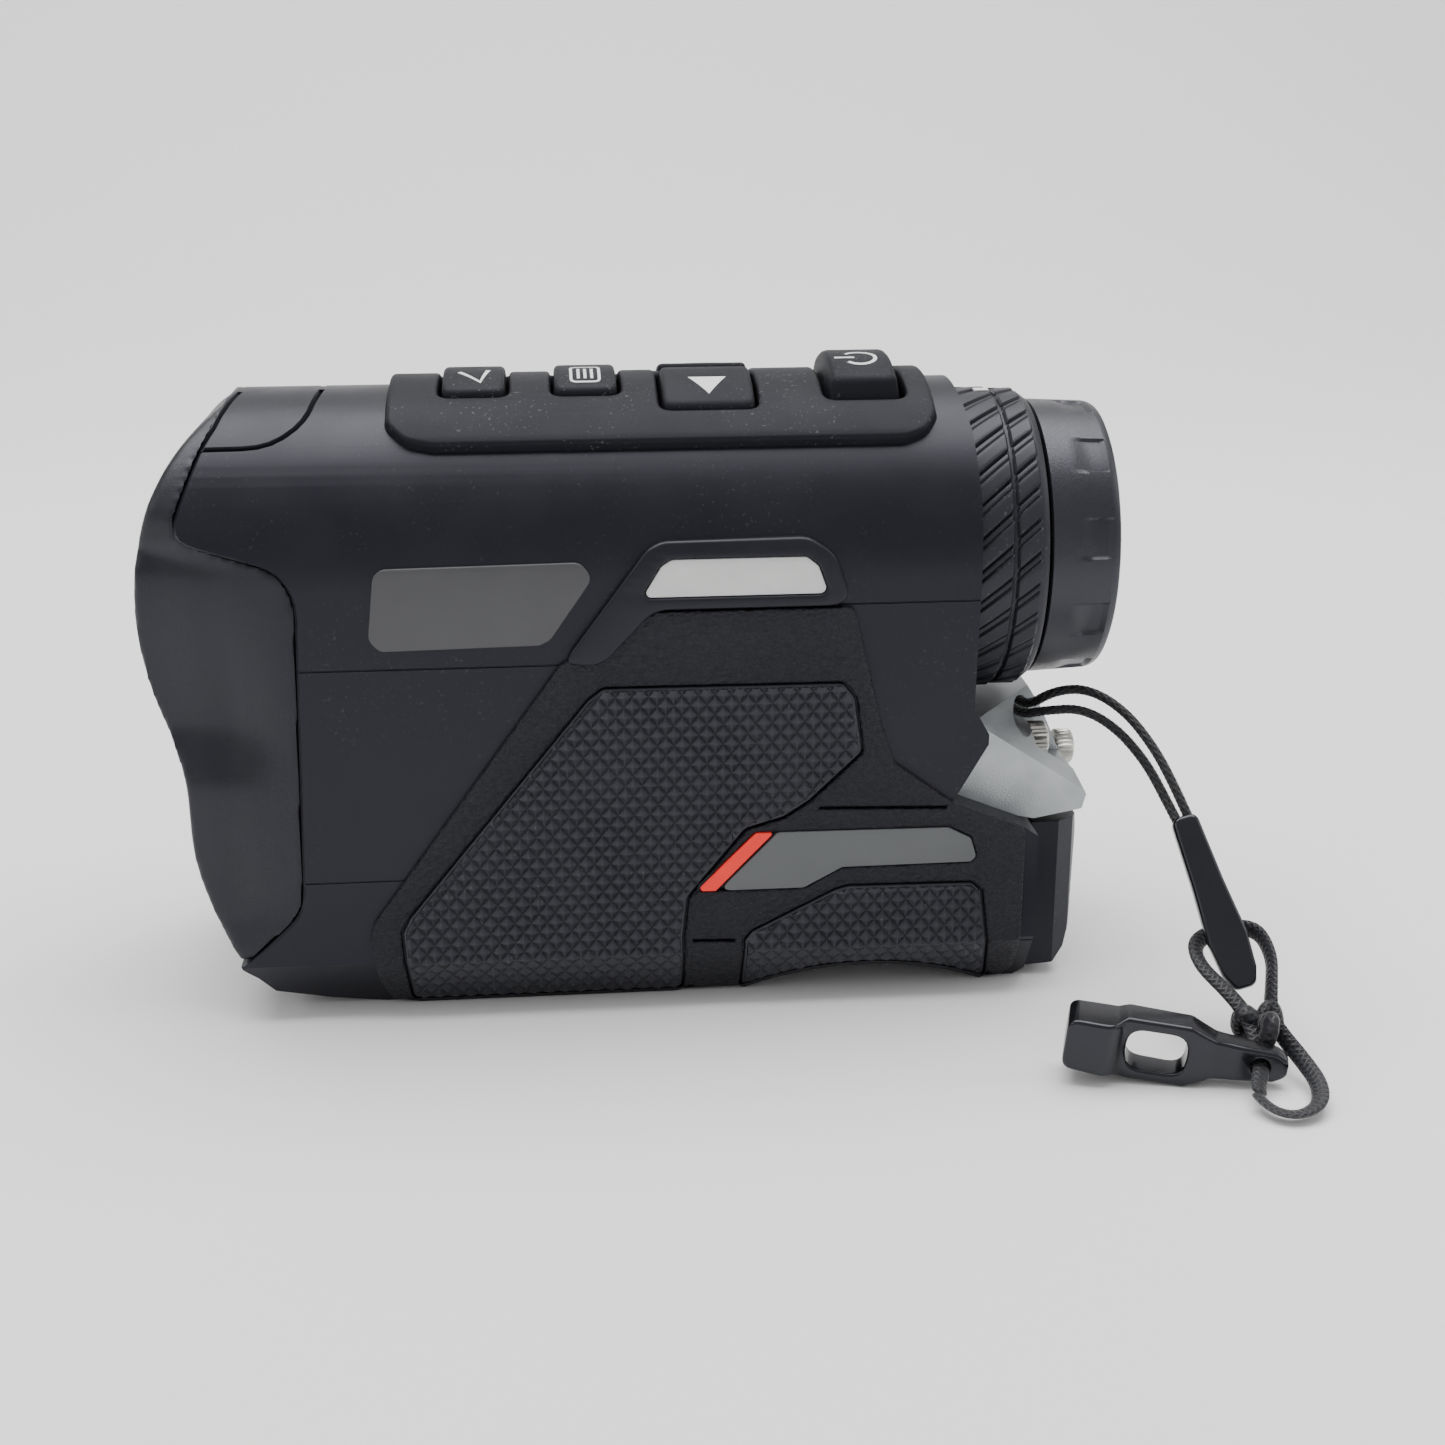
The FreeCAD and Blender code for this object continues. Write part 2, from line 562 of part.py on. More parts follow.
pin_hole = cylinder("pin_hole", "Z", (PIVOT[0], PIVOT[1], "0"), "pin_radius", above(27.6))
rear_flat = box("rear_flat", (along(66.2), "-bracket_half_width", "0"),
                (along(10), "2 * bracket_half_width", "60"))
node(cut("bracket_part", bracket_block, window, near_notch, far_hole, near_hole, pin_hole, rear_flat,
         *facets),
     "lanyard_bracket")
for name, start, face, side, height in (("near", along(52), along(59.2), "-9.6", above(35.0)),
                                        ("far", along(54), along(66.2), "1.5", above(29.8))):
    shank = cylinder(name + "_shank", "X", (start, side, height), "screw_shank_radius",
                     "%s - %s" % (face, start))
    head = cylinder(name + "_head", "X", (face, side, height), "screw_head_radius", "screw_head_length")
    socket = cylinder(name + "_socket", "X", (face + " + 1.2", side, height), "1.3", "screw_head_length")
    node(cut(name + "_screw_part", fuse(name + "_screw_full", shank, head), socket), "screw_" + name)

# ---------------------------------------------------------------- battery bay and door

CELL_HEIGHT = "(arch_floor + box_wall + cell_radius + 0.3)"
BAY_FRONT = along(5.5)
bay_outer = box("bay_outer", (BAY_FRONT, "-2 * cell_radius - 1.5", "arch_floor + 0.1"),
                ("battery_length + 1.9", "4 * cell_radius + 3", "2 * cell_radius + 2 * box_wall + 0.4"))
bay_inner = box("bay_inner", (BAY_FRONT + " + 1", "-2 * cell_radius - 0.5", "arch_floor + 0.1 + box_wall"),
                ("battery_length + 5", "4 * cell_radius + 1", "2 * cell_radius + 0.4"))
node(cut("bay_part", bay_outer, bay_inner), "battery_box")
for side, sign in (("left", "-"), ("right", "")):
    node(cylinder("battery_part_" + side, "X", (BAY_FRONT + " + 1.2", sign + "(cell_radius + 0.2)",
                                                CELL_HEIGHT),
                  "cell_radius", "battery_length"), "battery_" + side)

DOOR_START = along(58) + " + door_gap"
door_side = prism("door_side", "XZ", [
    (DOOR_START, above(25)), (along(65.6), above(25.1)), (along(66), above(22)), (along(65.3), above(7.6)),
    (along(64.4), above(3.9)), (along(62.6), "1.9"), (DOOR_START, "1.6")], "-door_half_width",
    "2 * door_half_width")
door_plan = prism("door_plan", "XY", [
    (DOOR_START, "-door_half_width"), (along(62.4), "-door_half_width"),
    (along(65), "-door_half_width + 1.8"),
    (along(66.5), "-door_half_width + 5"), (along(66.5), "door_half_width - 5"),
    (along(65), "door_half_width - 1.8"), (along(62.4), "door_half_width"), (DOOR_START, "door_half_width")],
    "0", "body_height")
door_hollow = box("door_hollow", (along(57), "-2 * cell_radius", above(4)),
                  (along(66) + " - %s - door_wall - 1.6" % along(57), "4 * cell_radius", above(18.8)))
door_pin_hole = cylinder("door_pin_hole", "Z", (PIVOT[0], PIVOT[1], "0"), "pin_radius + running_gap",
                         "body_height")
LATCH = (along(66) + " - 2.4", "-13.4", above(9.5))
latch_pocket = box("latch_pocket", LATCH, ("4", "5 + latch_travel + 0.8", above(8)))
node(cut("door_part", common("door_full", door_side, door_plan), door_hollow, door_pin_hole, latch_pocket),
     "battery_door")
node(box("latch_part", (LATCH[0] + " + 0.2", LATCH[1] + " + 0.4", LATCH[2] + " + 0.4"),
         ("2.2", "5", above(8) + " - 0.8")), "door_latch")
node(cylinder("pin_part", "Z", (PIVOT[0], PIVOT[1], "0.2"), "pin_radius", above(27.6) + " - 0.2"),
     "hinge_pin")

# ---------------------------------------------------------------- lanyard


def tube(name, route, diameter):
    """A round tube whose straight runs meet in tangent arcs, each as large as its runs allow."""
    points = [FreeCAD.Vector(*place) for place in route]
    edges = []
    start = points[0]
    for before, corner, after in zip(points, points[1:], points[2:]):
        incoming = (corner - before).normalize()
        outgoing = (after - corner).normalize()
        turn = incoming.getAngle(outgoing)
        reach = 0.45 * min(corner.distanceToPoint(before), corner.distanceToPoint(after))
        radius = reach / math.tan(turn / 2)
        first = corner - incoming * reach
        last = corner + outgoing * reach
        inward = (outgoing - incoming).normalize()
        middle = corner + inward * (radius / math.cos(turn / 2) - radius)
        edges.append(Part.LineSegment(start, first).toShape())
        edges.append(Part.Arc(first, middle, last).toShape())
        print("%s: turn %.0f degrees, radius %.1f" % (name, math.degrees(turn), radius))
        start = last
    edges.append(Part.LineSegment(start, points[-1]).toShape())
    path = Part.Wire(edges)
    circle = Part.Circle(points[0], points[1] - points[0], diameter / 2)
    profile = Part.Wire([circle.toShape()])
    thing = document.addObject("Part::Feature", name + "_tube")
    thing.Shape = path.makePipeShell([profile], True, True)
    thing.Placement = FreeCAD.Placement()
    print("%s: length %.1f, volume / (section x length) %.3f" % (
        name, path.Length, thing.Shape.Volume / (math.pi * diameter ** 2 / 4 * path.Length)))
    return thing


upper_route = [(59.1, -1.5, 39.1), (59.3, -7.4, 39.3), (62.9, -10.0, 42.7), (67.6, -11.9, 43.5),
               (72.0, -16.2, 41.4),
               (75.2, -21.2, 37.3), (77.3, -25.4, 32.8), (78.9, -28.4, 28.6)]
lower_route = [(57.5, -1.5, 38.9), (57.6, -8.6, 38.5), (61.6, -11.9, 40.3), (66.6, -13.2, 40.8),
               (71.1, -16.0, 38.5),
               (74.4, -20.4, 34.7), (76.1, -24.6, 31.0), (77.4, -28.4, 27.8)]
node(tube("cord_upper", upper_route, number("cord_diameter")), "cord_upper")
node(tube("cord_lower", lower_route, number("cord_diameter")), "cord_lower")

# the moulded tongue that both strands run into, drawn upright and then tilted along the lanyard
tongue_outline = [("-1.9", "0"), ("1.9", "0"), ("2.3", "-9"), ("2.9", "-17"), ("2.5", "-22"),
                  ("1.6", "-24.5"),
                  ("-1.6", "-24.5"), ("-2.5", "-22"), ("-2.9", "-17"), ("-2.3", "-9")]
tongue = prism("tongue", "XZ", tongue_outline, "-1.3", "2.6")
connector = tongue
down = FreeCAD.Vector(0.214, -0.601, -0.770)
facing = FreeCAD.Vector(-0.161, -0.800, 0.579)
across = down.cross(facing)
connector.Placement = FreeCAD.Placement(FreeCAD.Vector(78.4, -28.9, 27.6),
                                        FreeCAD.Rotation(across, facing * -1, down * -1, "ZYX"))
node(connector, "connector")

strap_route = [(82.6, -47.9, 8.3), (80.0, -45.2, 9.6), (77.5, -41.6, 11.6), (77.9, -36.9, 13.0),
               (82.4, -34.7, 13.8), (87.0, -36.9, 15.0), (87.8, -41.8, 12.8), (86.6, -45.6, 10.2),
               (85.2, -47.3, 8.8)]
node(tube("webbing_loop", strap_route, number("strap_diameter")), "webbing_loop")
knot = document.addObject("Part::Ellipsoid", "knot_part")
bind(knot, {"Radius1": "2.6", "Radius2": "3.1", "Radius3": "2.7"})
placed(knot, ("83.9", "-49.4", "5.9"))
node(knot, "knot")
tail_route = [(86.5, -51.4, 4.4), (88.3, -54.4, 3.1), (88.9, -60.0, 2.2), (87.2, -64.6, 1.6),
              (83.4, -66.3, 1.2),
              (80.4, -64.4, 1.4), (80.1, -60.9, 1.9)]
node(tube("tail_loop", tail_route, number("strap_diameter")), "tail_loop")

toggle_plan = prism("toggle_plan", "XY", [
    ("0", "-3.7"), ("6.5", "-3.9"), ("8", "-4.5"), ("16.5", "-4.5"), ("20", "-2.9"), ("29", "-2.2"),
    ("30", "-1.2"),
    ("30", "1.2"), ("29", "2.2"), ("20", "2.9"), ("16.5", "4.5"), ("8", "4.5"), ("6.5", "3.9"),
    ("0", "3.7")],
    "0", "8")
toggle_side = prism("toggle_side", "XZ", [
    ("0", "0"), ("30", "0"), ("30", "2.4"), ("17", "4.2"), ("8.5", "4.2"), ("6", "6.8"), ("0", "6.8")],
    "-6", "12")
toggle_slot = box("toggle_slot", ("8.2", "-3", "-1"), ("8.4", "6", "10"))
toggle_eye = cylinder("toggle_eye", "Z", ("26.3", "0", "-1"), "1.35", "10")
toggle = cut("toggle_part", common("toggle_full", toggle_plan, toggle_side), toggle_slot, toggle_eye)
# it stands on its edge, nose down, turned towards the front
stance = FreeCAD.Rotation(FreeCAD.Vector(0, 0, 1), -17).multiply(
    FreeCAD.Rotation(FreeCAD.Vector(0, 1, 0), 6)).multiply(FreeCAD.Rotation(FreeCAD.Vector(1, 0, 0), 90))
toggle.Placement = FreeCAD.Placement(FreeCAD.Vector(57.4, -46.6, 6.25), stance)
node(toggle, "toggle")

# ---------------------------------------------------------------- check and write

document.recompute()
faults = []
for thing in document.Objects:
    if "Invalid" in thing.State or "Error" in thing.State:
        faults.append("%s is %s" % (thing.Name, thing.State))
for thing in nodes:
    if thing.Shape.isNull() or not thing.Shape.isValid() or thing.Shape.Volume <= 0:
        faults.append("%s has no sound shape" % thing.Label)
if faults:
    raise RuntimeError("; ".join(faults))

os.makedirs("parts", exist_ok=True)
for thing in nodes:
    thing.Shape.exportStep("parts/%s.step" % thing.Label)
    print("%-16s solids %d volume %9.1f" % (thing.Label, len(thing.Shape.Solids), thing.Shape.Volume))
print(len(nodes), "nodes")
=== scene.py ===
import bmesh
import bpy
import json
import math
from mathutils import Matrix, Vector
from mathutils.geometry import delaunay_2d_cdt


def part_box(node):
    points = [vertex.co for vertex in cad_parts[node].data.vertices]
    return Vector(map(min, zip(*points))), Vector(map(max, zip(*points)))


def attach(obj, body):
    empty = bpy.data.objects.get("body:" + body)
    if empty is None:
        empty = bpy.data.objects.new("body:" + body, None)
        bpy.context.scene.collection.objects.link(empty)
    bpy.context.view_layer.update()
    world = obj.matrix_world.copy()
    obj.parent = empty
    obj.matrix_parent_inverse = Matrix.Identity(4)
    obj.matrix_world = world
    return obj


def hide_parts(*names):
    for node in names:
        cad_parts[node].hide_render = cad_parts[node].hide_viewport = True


# Handheld laser rangefinder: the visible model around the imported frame.
# Lengths are written in millimetres and turned into metres by MM.

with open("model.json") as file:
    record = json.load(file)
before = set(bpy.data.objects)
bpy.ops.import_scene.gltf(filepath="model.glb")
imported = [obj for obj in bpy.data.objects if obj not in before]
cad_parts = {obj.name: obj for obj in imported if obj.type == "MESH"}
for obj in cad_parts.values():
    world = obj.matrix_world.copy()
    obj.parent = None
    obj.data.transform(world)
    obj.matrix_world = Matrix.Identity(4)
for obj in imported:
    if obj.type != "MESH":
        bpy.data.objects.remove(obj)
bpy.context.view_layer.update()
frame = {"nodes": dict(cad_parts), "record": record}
NODES = frame["nodes"]
MM = 0.001

# ---------------------------------------------------------------- places that come from the frame

AXIS = 64.3
SIDE = 24.2
FOOT_SIDE = 18.0
FOOT_HEIGHT = 9.0
ARCH_MIDDLE = 33.0
ARCH_HALF = 18.0
ARCH_HEIGHT = 4.5
ARCH_RADIUS = (ARCH_HALF ** 2 + ARCH_HEIGHT ** 2) / (2 * ARCH_HEIGHT)


def low_high(node):
    low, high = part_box(node)
    return low / MM, high / MM


def about(x, radius, angle, y=0.0, z=AXIS):
    """A point, in metres, on a circle round a line that runs along the body."""
    return Vector((x, y - radius * math.sin(angle), z + radius * math.cos(angle))) * MM


def smoothstep(low, high, value):
    t = min(1.0, max(0.0, (value - low) / (high - low)))
    return t * t * (3 - 2 * t)


def eased(stations, value):
    """A smooth step from each station (place, level) to the next."""
    for (a, level_a), (b, level_b) in zip(stations, stations[1:]):
        if value <= b:
            return level_a + (level_b - level_a) * smoothstep(a, b, value)
    return stations[-1][1]


def add(name, data):
    """A new object in the scene."""
    obj = bpy.data.objects.new(name, data)
    bpy.context.scene.collection.objects.link(obj)
    return obj


def add_mesh(name, bm):
    mesh = bpy.data.meshes.new(name)
    bm.to_mesh(mesh)
    bm.free()
    return add(name, mesh)


def stitch(bm, rows, flip=False):
    """Quads between neighbouring closed rows of vertices."""
    for first, second in zip(rows, rows[1:]):
        for k in range(len(first)):
            after = (k + 1) % len(first)
            quad = [first[k], first[after], second[after], second[k]]
            bm.faces.new(quad[::-1] if flip else quad)


# ---------------------------------------------------------------- camera, floor and lights


CAMERA_PLACE = Vector((-12.0, -291.1, 134.1))
CAMERA_ANGLES = (5.05, 18.57, -0.19)
CAMERA_LENS = 49.83


def make_camera():
    yaw, pitch, roll = (math.radians(angle) for angle in CAMERA_ANGLES)
    level = math.cos(pitch)
    ahead = Vector((math.sin(yaw) * level, math.cos(yaw) * level, -math.sin(pitch)))
    right = Vector((math.cos(yaw), -math.sin(yaw), 0))
    up = right.cross(ahead)
    level_right = right * math.cos(roll) + up * math.sin(roll)
    level_up = up * math.cos(roll) - right * math.sin(roll)
    data = bpy.data.cameras.new("camera")
    data.sensor_width = 36
    data.lens = CAMERA_LENS
    data.clip_start = 0.01
    camera = add("camera", data)
    turn = Matrix((level_right, level_up, -ahead)).transposed().to_4x4()
    camera.matrix_world = Matrix.Translation(CAMERA_PLACE * MM) @ turn
    bpy.context.scene.camera = camera


def area_light(name, place, target, size, power):
    data = bpy.data.lights.new(name, "AREA")
    data.shape = "RECTANGLE"
    data.size, data.size_y = size
    data.energy = power
    lamp = add(name, data)
    lamp.location = place
    lamp.rotation_euler = (Vector(target) - Vector(place)).to_track_quat("-Z", "Y").to_euler()


def make_stage():
    """A seamless sweep: a floor that curves up into a backdrop."""
    bend, back, half, rise = 0.5, 1.0, 2.4, 1.8
    profile = [(-2.2, 0.0), (-0.6, 0.0), (0.0, 0.0), (0.4, 0.0)]
    for step in range(13):
        angle = math.radians(90 * step / 12)
        profile.append((back - bend + bend * math.sin(angle), bend - bend * math.cos(angle)))
    profile.append((back, rise))
    mesh = bpy.data.meshes.new("sweep")
    verts = [(side * half, y, z) for y, z in profile for side in (-1, 1)]
    faces = [(2 * i, 2 * i + 1, 2 * i + 3, 2 * i + 2) for i in range(len(profile) - 1)]
    mesh.from_pydata(verts, [], faces)
    for face in mesh.polygons:
        face.use_smooth = True
    sweep = add("sweep", mesh)
    material = bpy.data.materials.new("paper")
    material.use_nodes = True
    shader = material.node_tree.nodes["Principled BSDF"]
    shader.inputs["Base Color"].default_value = (0.83, 0.83, 0.825, 1)
    shader.inputs["Roughness"].default_value = 0.85
    shader.inputs["Specular IOR Level"].default_value = 0.2
    mesh.materials.append(material)


make_camera()
make_stage()
area_light("overhead", (0.0, 0.15, 0.95), (0.0, 0.0, 0.0), (1.1, 0.8), 16.0)
area_light("left_fill", (-0.9, -0.3, 0.55), (0.0, 0.0, 0.04), (0.5, 0.5), 1.6)
area_light("right_fill", (0.9, -0.1, 0.55), (0.0, 0.0, 0.04), (0.5, 0.5), 1.6)
world = bpy.data.worlds.new("studio")
world.use_nodes = True
world.node_tree.nodes["Background"].inputs["Color"].default_value = (1.0, 1.0, 1.0, 1)
world.node_tree.nodes["Background"].inputs["Strength"].default_value = 0.7
bpy.context.scene.world = world

# ---------------------------------------------------------------- materials

MATERIALS = {}
COOL = (0.88, 0.89, 1.0, 1.0)


class Shader:
    """A principled material with a few helpers for procedural detail, listed in MATERIALS."""

    def __init__(self, name, uv=False):
        self.material = bpy.data.materials.new(name)
        self.material.use_nodes = True
        self.tree = self.material.node_tree
        self.bsdf = self.tree.nodes["Principled BSDF"]
        source = self.tree.nodes.new("ShaderNodeTexCoord")
        self.coords = source.outputs["UV" if uv else "Object"]
        self.height = None
        MATERIALS[name] = self

    def node(self, kind, **settings):
        made = self.tree.nodes.new(kind)
        for key, value in settings.items():
            setattr(made, key, value)
        return made

    def link(self, a, b):
        self.tree.links.new(a, b)

    def noise(self, size_mm, detail=2.0, rough=0.5):
        texture = self.node("ShaderNodeTexNoise")
        texture.inputs["Scale"].default_value = 1.0 / (size_mm * MM)
        texture.inputs["Detail"].default_value = detail
        texture.inputs["Roughness"].default_value = rough
        self.link(self.coords, texture.inputs["Vector"])
        return texture.outputs["Fac"]

    def cells(self, size_mm, feature, stretch=None):
        texture = self.node("ShaderNodeTexVoronoi", feature=feature)
        texture.inputs["Scale"].default_value = 1.0 / (size_mm * MM)
        self.link(self.stretched(stretch), texture.inputs["Vector"])
        return texture.outputs["Distance"]

    def stretched(self, stretch):
        if stretch is None:
            return self.coords
        mapping = self.node("ShaderNodeMapping")
        mapping.inputs["Scale"].default_value = stretch
        self.link(self.coords, mapping.inputs["Vector"])
        return mapping.outputs["Vector"]

    def ramp(self, value, low, high, first, last):
        ranger = self.node("ShaderNodeMapRange")
        for name, number in (("From Min", low), ("From Max", high), ("To Min", first), ("To Max", last)):
            ranger.inputs[name].default_value = number
        self.link(value, ranger.inputs["Value"])
        return ranger.outputs["Result"]

    def math(self, operation, a, b):
        made = self.node("ShaderNodeMath", operation=operation)
        for socket, value in zip(made.inputs, (a, b)):
            if isinstance(value, (int, float)):
                socket.default_value = value
            else:
                self.link(value, socket)
        return made.outputs[0]

    def mix(self, factor, first, second):
        made = self.node("ShaderNodeMix", data_type="RGBA")
        self.link(factor, made.inputs["Factor"])
        for socket, value in (("A", first), ("B", second)):
            target = [s for s in made.inputs if s.name == socket and s.type == "RGBA"][0]
            if isinstance(value, tuple):
                target.default_value = value + (1,)
            else:
                self.link(value, target)
        return [s for s in made.outputs if s.type == "RGBA"][0]

    def set(self, **values):
        for name, value in values.items():
            self.bsdf.inputs[name.replace("_", " ")].default_value = value

    def color(self, source):
        self.link(source, self.bsdf.inputs["Base Color"])

    def roughness(self, source):
        self.link(source, self.bsdf.inputs["Roughness"])

    def bump(self, source, depth_mm):
        made = self.node("ShaderNodeBump")
        made.inputs["Strength"].default_value = 1.0
        made.inputs["Distance"].default_value = depth_mm * MM
        self.link(source, made.inputs["Height"])
        if self.height is not None:
            self.link(self.height, made.inputs["Normal"])
        self.height = made.outputs["Normal"]
        self.link(self.height, self.bsdf.inputs["Normal"])


def moulded(name, dark, light, rough, grain_mm, depth_mm, specular, spread=0.06, dust=0.0):
    """Moulded plastic or rubber: fine spark-eroded grain, slow colour drift and a few dusty specks."""
    shader = Shader(name)
    drift = shader.noise(9.0, detail=3.0)
    grain = shader.noise(grain_mm, detail=3.0, rough=0.65)
    base = shader.mix(shader.ramp(drift, 0.3, 0.7, 0.0, 1.0), dark, light)
    if dust:
        specks = shader.noise(0.5, detail=1.0)
        area = shader.noise(14.0, detail=2.0)
        amount = shader.math("MULTIPLY", shader.ramp(specks, 0.66, 0.76, 0.0, dust),
                             shader.ramp(area, 0.42, 0.62, 0.0, 1.0))
        base = shader.mix(amount, base, (0.22, 0.22, 0.22))
    shader.color(base)
    worn = shader.math("ADD", shader.ramp(grain, 0.2, 0.8, -spread, spread),
                       shader.ramp(drift, 0.3, 0.7, rough - 0.04, rough + 0.04))
    shader.roughness(worn)
    shader.bump(grain, depth_mm)
    shader.set(Specular_IOR_Level=specular, Specular_Tint=COOL)


def leather(name, dark, light, rough):
    """Coarse pebbled grain, as on moulded grips."""
    shader = Shader(name)
    pebble = shader.cells(0.62, "SMOOTH_F1", stretch=(0.72, 1.0, 1.15))
    fine = shader.noise(0.35, detail=3.0, rough=0.6)
    drift = shader.noise(11.0, detail=2.0)
    height = shader.math("ADD", shader.math("MULTIPLY", pebble, -0.8), shader.math("MULTIPLY", fine, 0.7))
    # The colour follows the grain's height: painted shade in the creases between the pebbles and painted
    # light on their tops.
    shader.color(shader.mix(shader.ramp(height, -0.4, 0.25, 0.0, 1.0), dark, light))
    shader.roughness(shader.ramp(drift, 0.3, 0.7, rough - 0.05, rough + 0.05))
    shader.bump(height, 0.6)
    shader.set(Specular_IOR_Level=0.36, Specular_Tint=COOL)


def painted(name, color, rough, coat=0.0, specular=0.5):
    """A printed or painted inlay with a faint orange-peel skin."""
    shader = Shader(name)
    drift = shader.noise(5.0, detail=2.0)
    peel = shader.noise(0.5, detail=2.0)
    darker = tuple(channel * 0.93 for channel in color)
    shader.color(shader.mix(shader.ramp(drift, 0.3, 0.7, 0.0, 1.0), color, darker))
    shader.roughness(shader.ramp(peel, 0.2, 0.8, rough - 0.04, rough + 0.05))
    shader.bump(peel, 0.006)
    shader.set(Specular_IOR_Level=specular, Coat_Weight=coat, Coat_Roughness=0.15)


def metal(name, color, rough, grain_mm, depth_mm):
    """Cast, turned or brushed metal: fine grain in the gloss and slow colour drift."""
    shader = Shader(name)
    grain = shader.noise(grain_mm, detail=4.0, rough=0.65)
    drift = shader.noise(6.0, detail=2.0)
    darker = tuple(channel * 0.8 for channel in color)
    shader.color(shader.mix(shader.ramp(drift, 0.3, 0.7, 0.0, 1.0), color, darker))
    shader.roughness(shader.ramp(grain, 0.25, 0.75, rough - 0.08, rough + 0.1))
    shader.bump(grain, depth_mm)
    shader.set(Metallic=1.0)


def woven(name, dark, light, across, along_mm, depth_mm, gloss):
    """Fibre that follows the piece's own UV: U round or across it, V in millimetres along it."""
    shader = Shader(name, uv=True)
    split = shader.node("ShaderNodeSeparateXYZ")
    shader.link(shader.coords, split.inputs[0])
    around = shader.math("MULTIPLY", split.outputs["X"], across * 2 * math.pi)
    run = shader.math("MULTIPLY", split.outputs["Y"], 2 * math.pi / along_mm)
    first = shader.math("SINE", shader.math("ADD", around, run), 0)
    second = shader.math("SINE", shader.math("SUBTRACT", around, run), 0)
    strands = shader.math("MAXIMUM", first, second)
    # The colour follows the strands' height: painted shade in the gaps between the strands and painted light
    # on their crests.
    shader.color(shader.mix(shader.ramp(strands, -0.4, 1.0, 0.0, 1.0), dark, light))
    shader.roughness(shader.ramp(strands, -0.5, 1.0, gloss + 0.18, gloss))
    shader.bump(strands, depth_mm)
    shader.set(Specular_IOR_Level=0.4, Sheen_Weight=0.25, Sheen_Roughness=0.4)


def glass():
    shader = Shader("lens_glass")
    film = shader.node("ShaderNodeLayerWeight")
    film.inputs["Blend"].default_value = 0.35
    shader.color(shader.mix(film.outputs["Facing"], (0.16, 0.05, 0.22), (0.03, 0.16, 0.12)))
    smear = shader.noise(7.0, detail=2.0)
    shader.roughness(shader.ramp(smear, 0.3, 0.7, 0.015, 0.05))
    shader.set(Transmission_Weight=0.75, IOR=1.52, Coat_Weight=0.6, Coat_Roughness=0.03)


def board_material():
    shader = Shader("board")
    copper = shader.cells(2.2, "DISTANCE_TO_EDGE")
    tracks = shader.ramp(copper, 0.03, 0.06, 0.0, 1.0)
    shader.color(shader.mix(tracks, (0.05, 0.25, 0.12), (0.012, 0.09, 0.045)))
    shader.roughness(shader.ramp(copper, 0.0, 0.2, 0.35, 0.5))
    shader.bump(copper, 0.02)


moulded("housing_plastic", (0.0026, 0.0026, 0.0058), (0.004, 0.004, 0.0075), 0.4, 0.16, 0.006, 0.35, dust=0.1)
moulded("bezel_plastic", (0.004, 0.004, 0.0065), (0.0065, 0.0065, 0.009), 0.38, 0.3, 0.03, 0.42, spread=0.12)
leather("grip_plastic", (0.001, 0.001, 0.0025), (0.010, 0.010, 0.0135), 0.45)
moulded("diamond_rubber", (0.011, 0.011, 0.0145), (0.016, 0.016, 0.02), 0.42, 0.2, 0.012, 0.55, dust=0.2)
moulded("key_rubber", (0.0045, 0.0047, 0.0072), (0.007, 0.0073, 0.010), 0.56, 0.22, 0.02, 0.2, dust=0.4)
moulded("ring_rubber", (0.0075, 0.0075, 0.0105), (0.011, 0.011, 0.0145), 0.46, 0.25, 0.016, 0.45, dust=0.2)
moulded("eyecup_rubber", (0.005, 0.005, 0.008), (0.008, 0.008, 0.011), 0.38, 0.3, 0.03, 0.6, spread=0.12)
moulded("trim_plastic", (0.0045, 0.0045, 0.0075), (0.0065, 0.0065, 0.0095), 0.38, 0.18, 0.005, 0.34)
painted("label_grey", (0.09, 0.096, 0.1), 0.42)
painted("badge_grey", (0.054, 0.054, 0.06), 0.42)
painted("label_silver", (0.62, 0.62, 0.615), 0.35, coat=0.3)
painted("label_red", (1.0, 0.05, 0.04), 0.5, specular=0.15)
glass()
metal("silver_metal", (0.5, 0.525, 0.54), 0.38, 0.28, 0.14)
metal("screw_steel", (0.55, 0.54, 0.5), 0.3, 0.15, 0.012)
metal("inner_metal", (0.2, 0.2, 0.21), 0.45, 0.3, 0.01)
board_material()
painted("battery_wrap", (0.05, 0.07, 0.12), 0.4, coat=0.4)
metal("brass", (0.6, 0.44, 0.18), 0.35, 0.3, 0.01)
woven("cord_fabric", (0.0015, 0.0015, 0.0025), (0.009, 0.009, 0.012), 6, 1.5, 0.08, 0.42)
woven("strap_fabric", (0.0012, 0.0012, 0.0028), (0.006, 0.006, 0.011), 5, 0.9, 0.05, 0.4)
moulded("fitting_plastic", (0.0025, 0.0025, 0.0035), (0.005, 0.005, 0.006), 0.2, 0.4, 0.006, 0.5)
painted("white_print", (0.72, 0.73, 0.73), 0.5)


def dress(obj, material):
    obj.data.materials.clear()
    obj.data.materials.append(MATERIALS[material].material)


def finish_piece(obj, slot, material=None):
    """Material: a piece shows its slot's material, or another one where given."""
    dress(obj, material or slot)


# ---------------------------------------------------------------- outlines


def rounded(points, radius, steps=5):
    """The outline with each corner turned into an arc-like curve."""
    out = []
    count = len(points)
    for i in range(count):
        corner = Vector(points[i])
        before, after = Vector(points[i - 1]), Vector(points[(i + 1) % count])
        back, on = before - corner, after - corner
        turn = math.pi - back.angle(on, math.pi)
        if turn < 0.12:
            out.append(tuple(corner))
            continue
        reach = min(radius * math.tan(turn / 2), 0.46 * back.length, 0.46 * on.length)
        start, end = corner + back.normalized() * reach, corner + on.normalized() * reach
        for k in range(steps + 1):
            t = k / steps
            place = start * (1 - t) ** 2 + corner * (2 * t * (1 - t)) + end * t ** 2
            out.append(tuple(place))
    return out


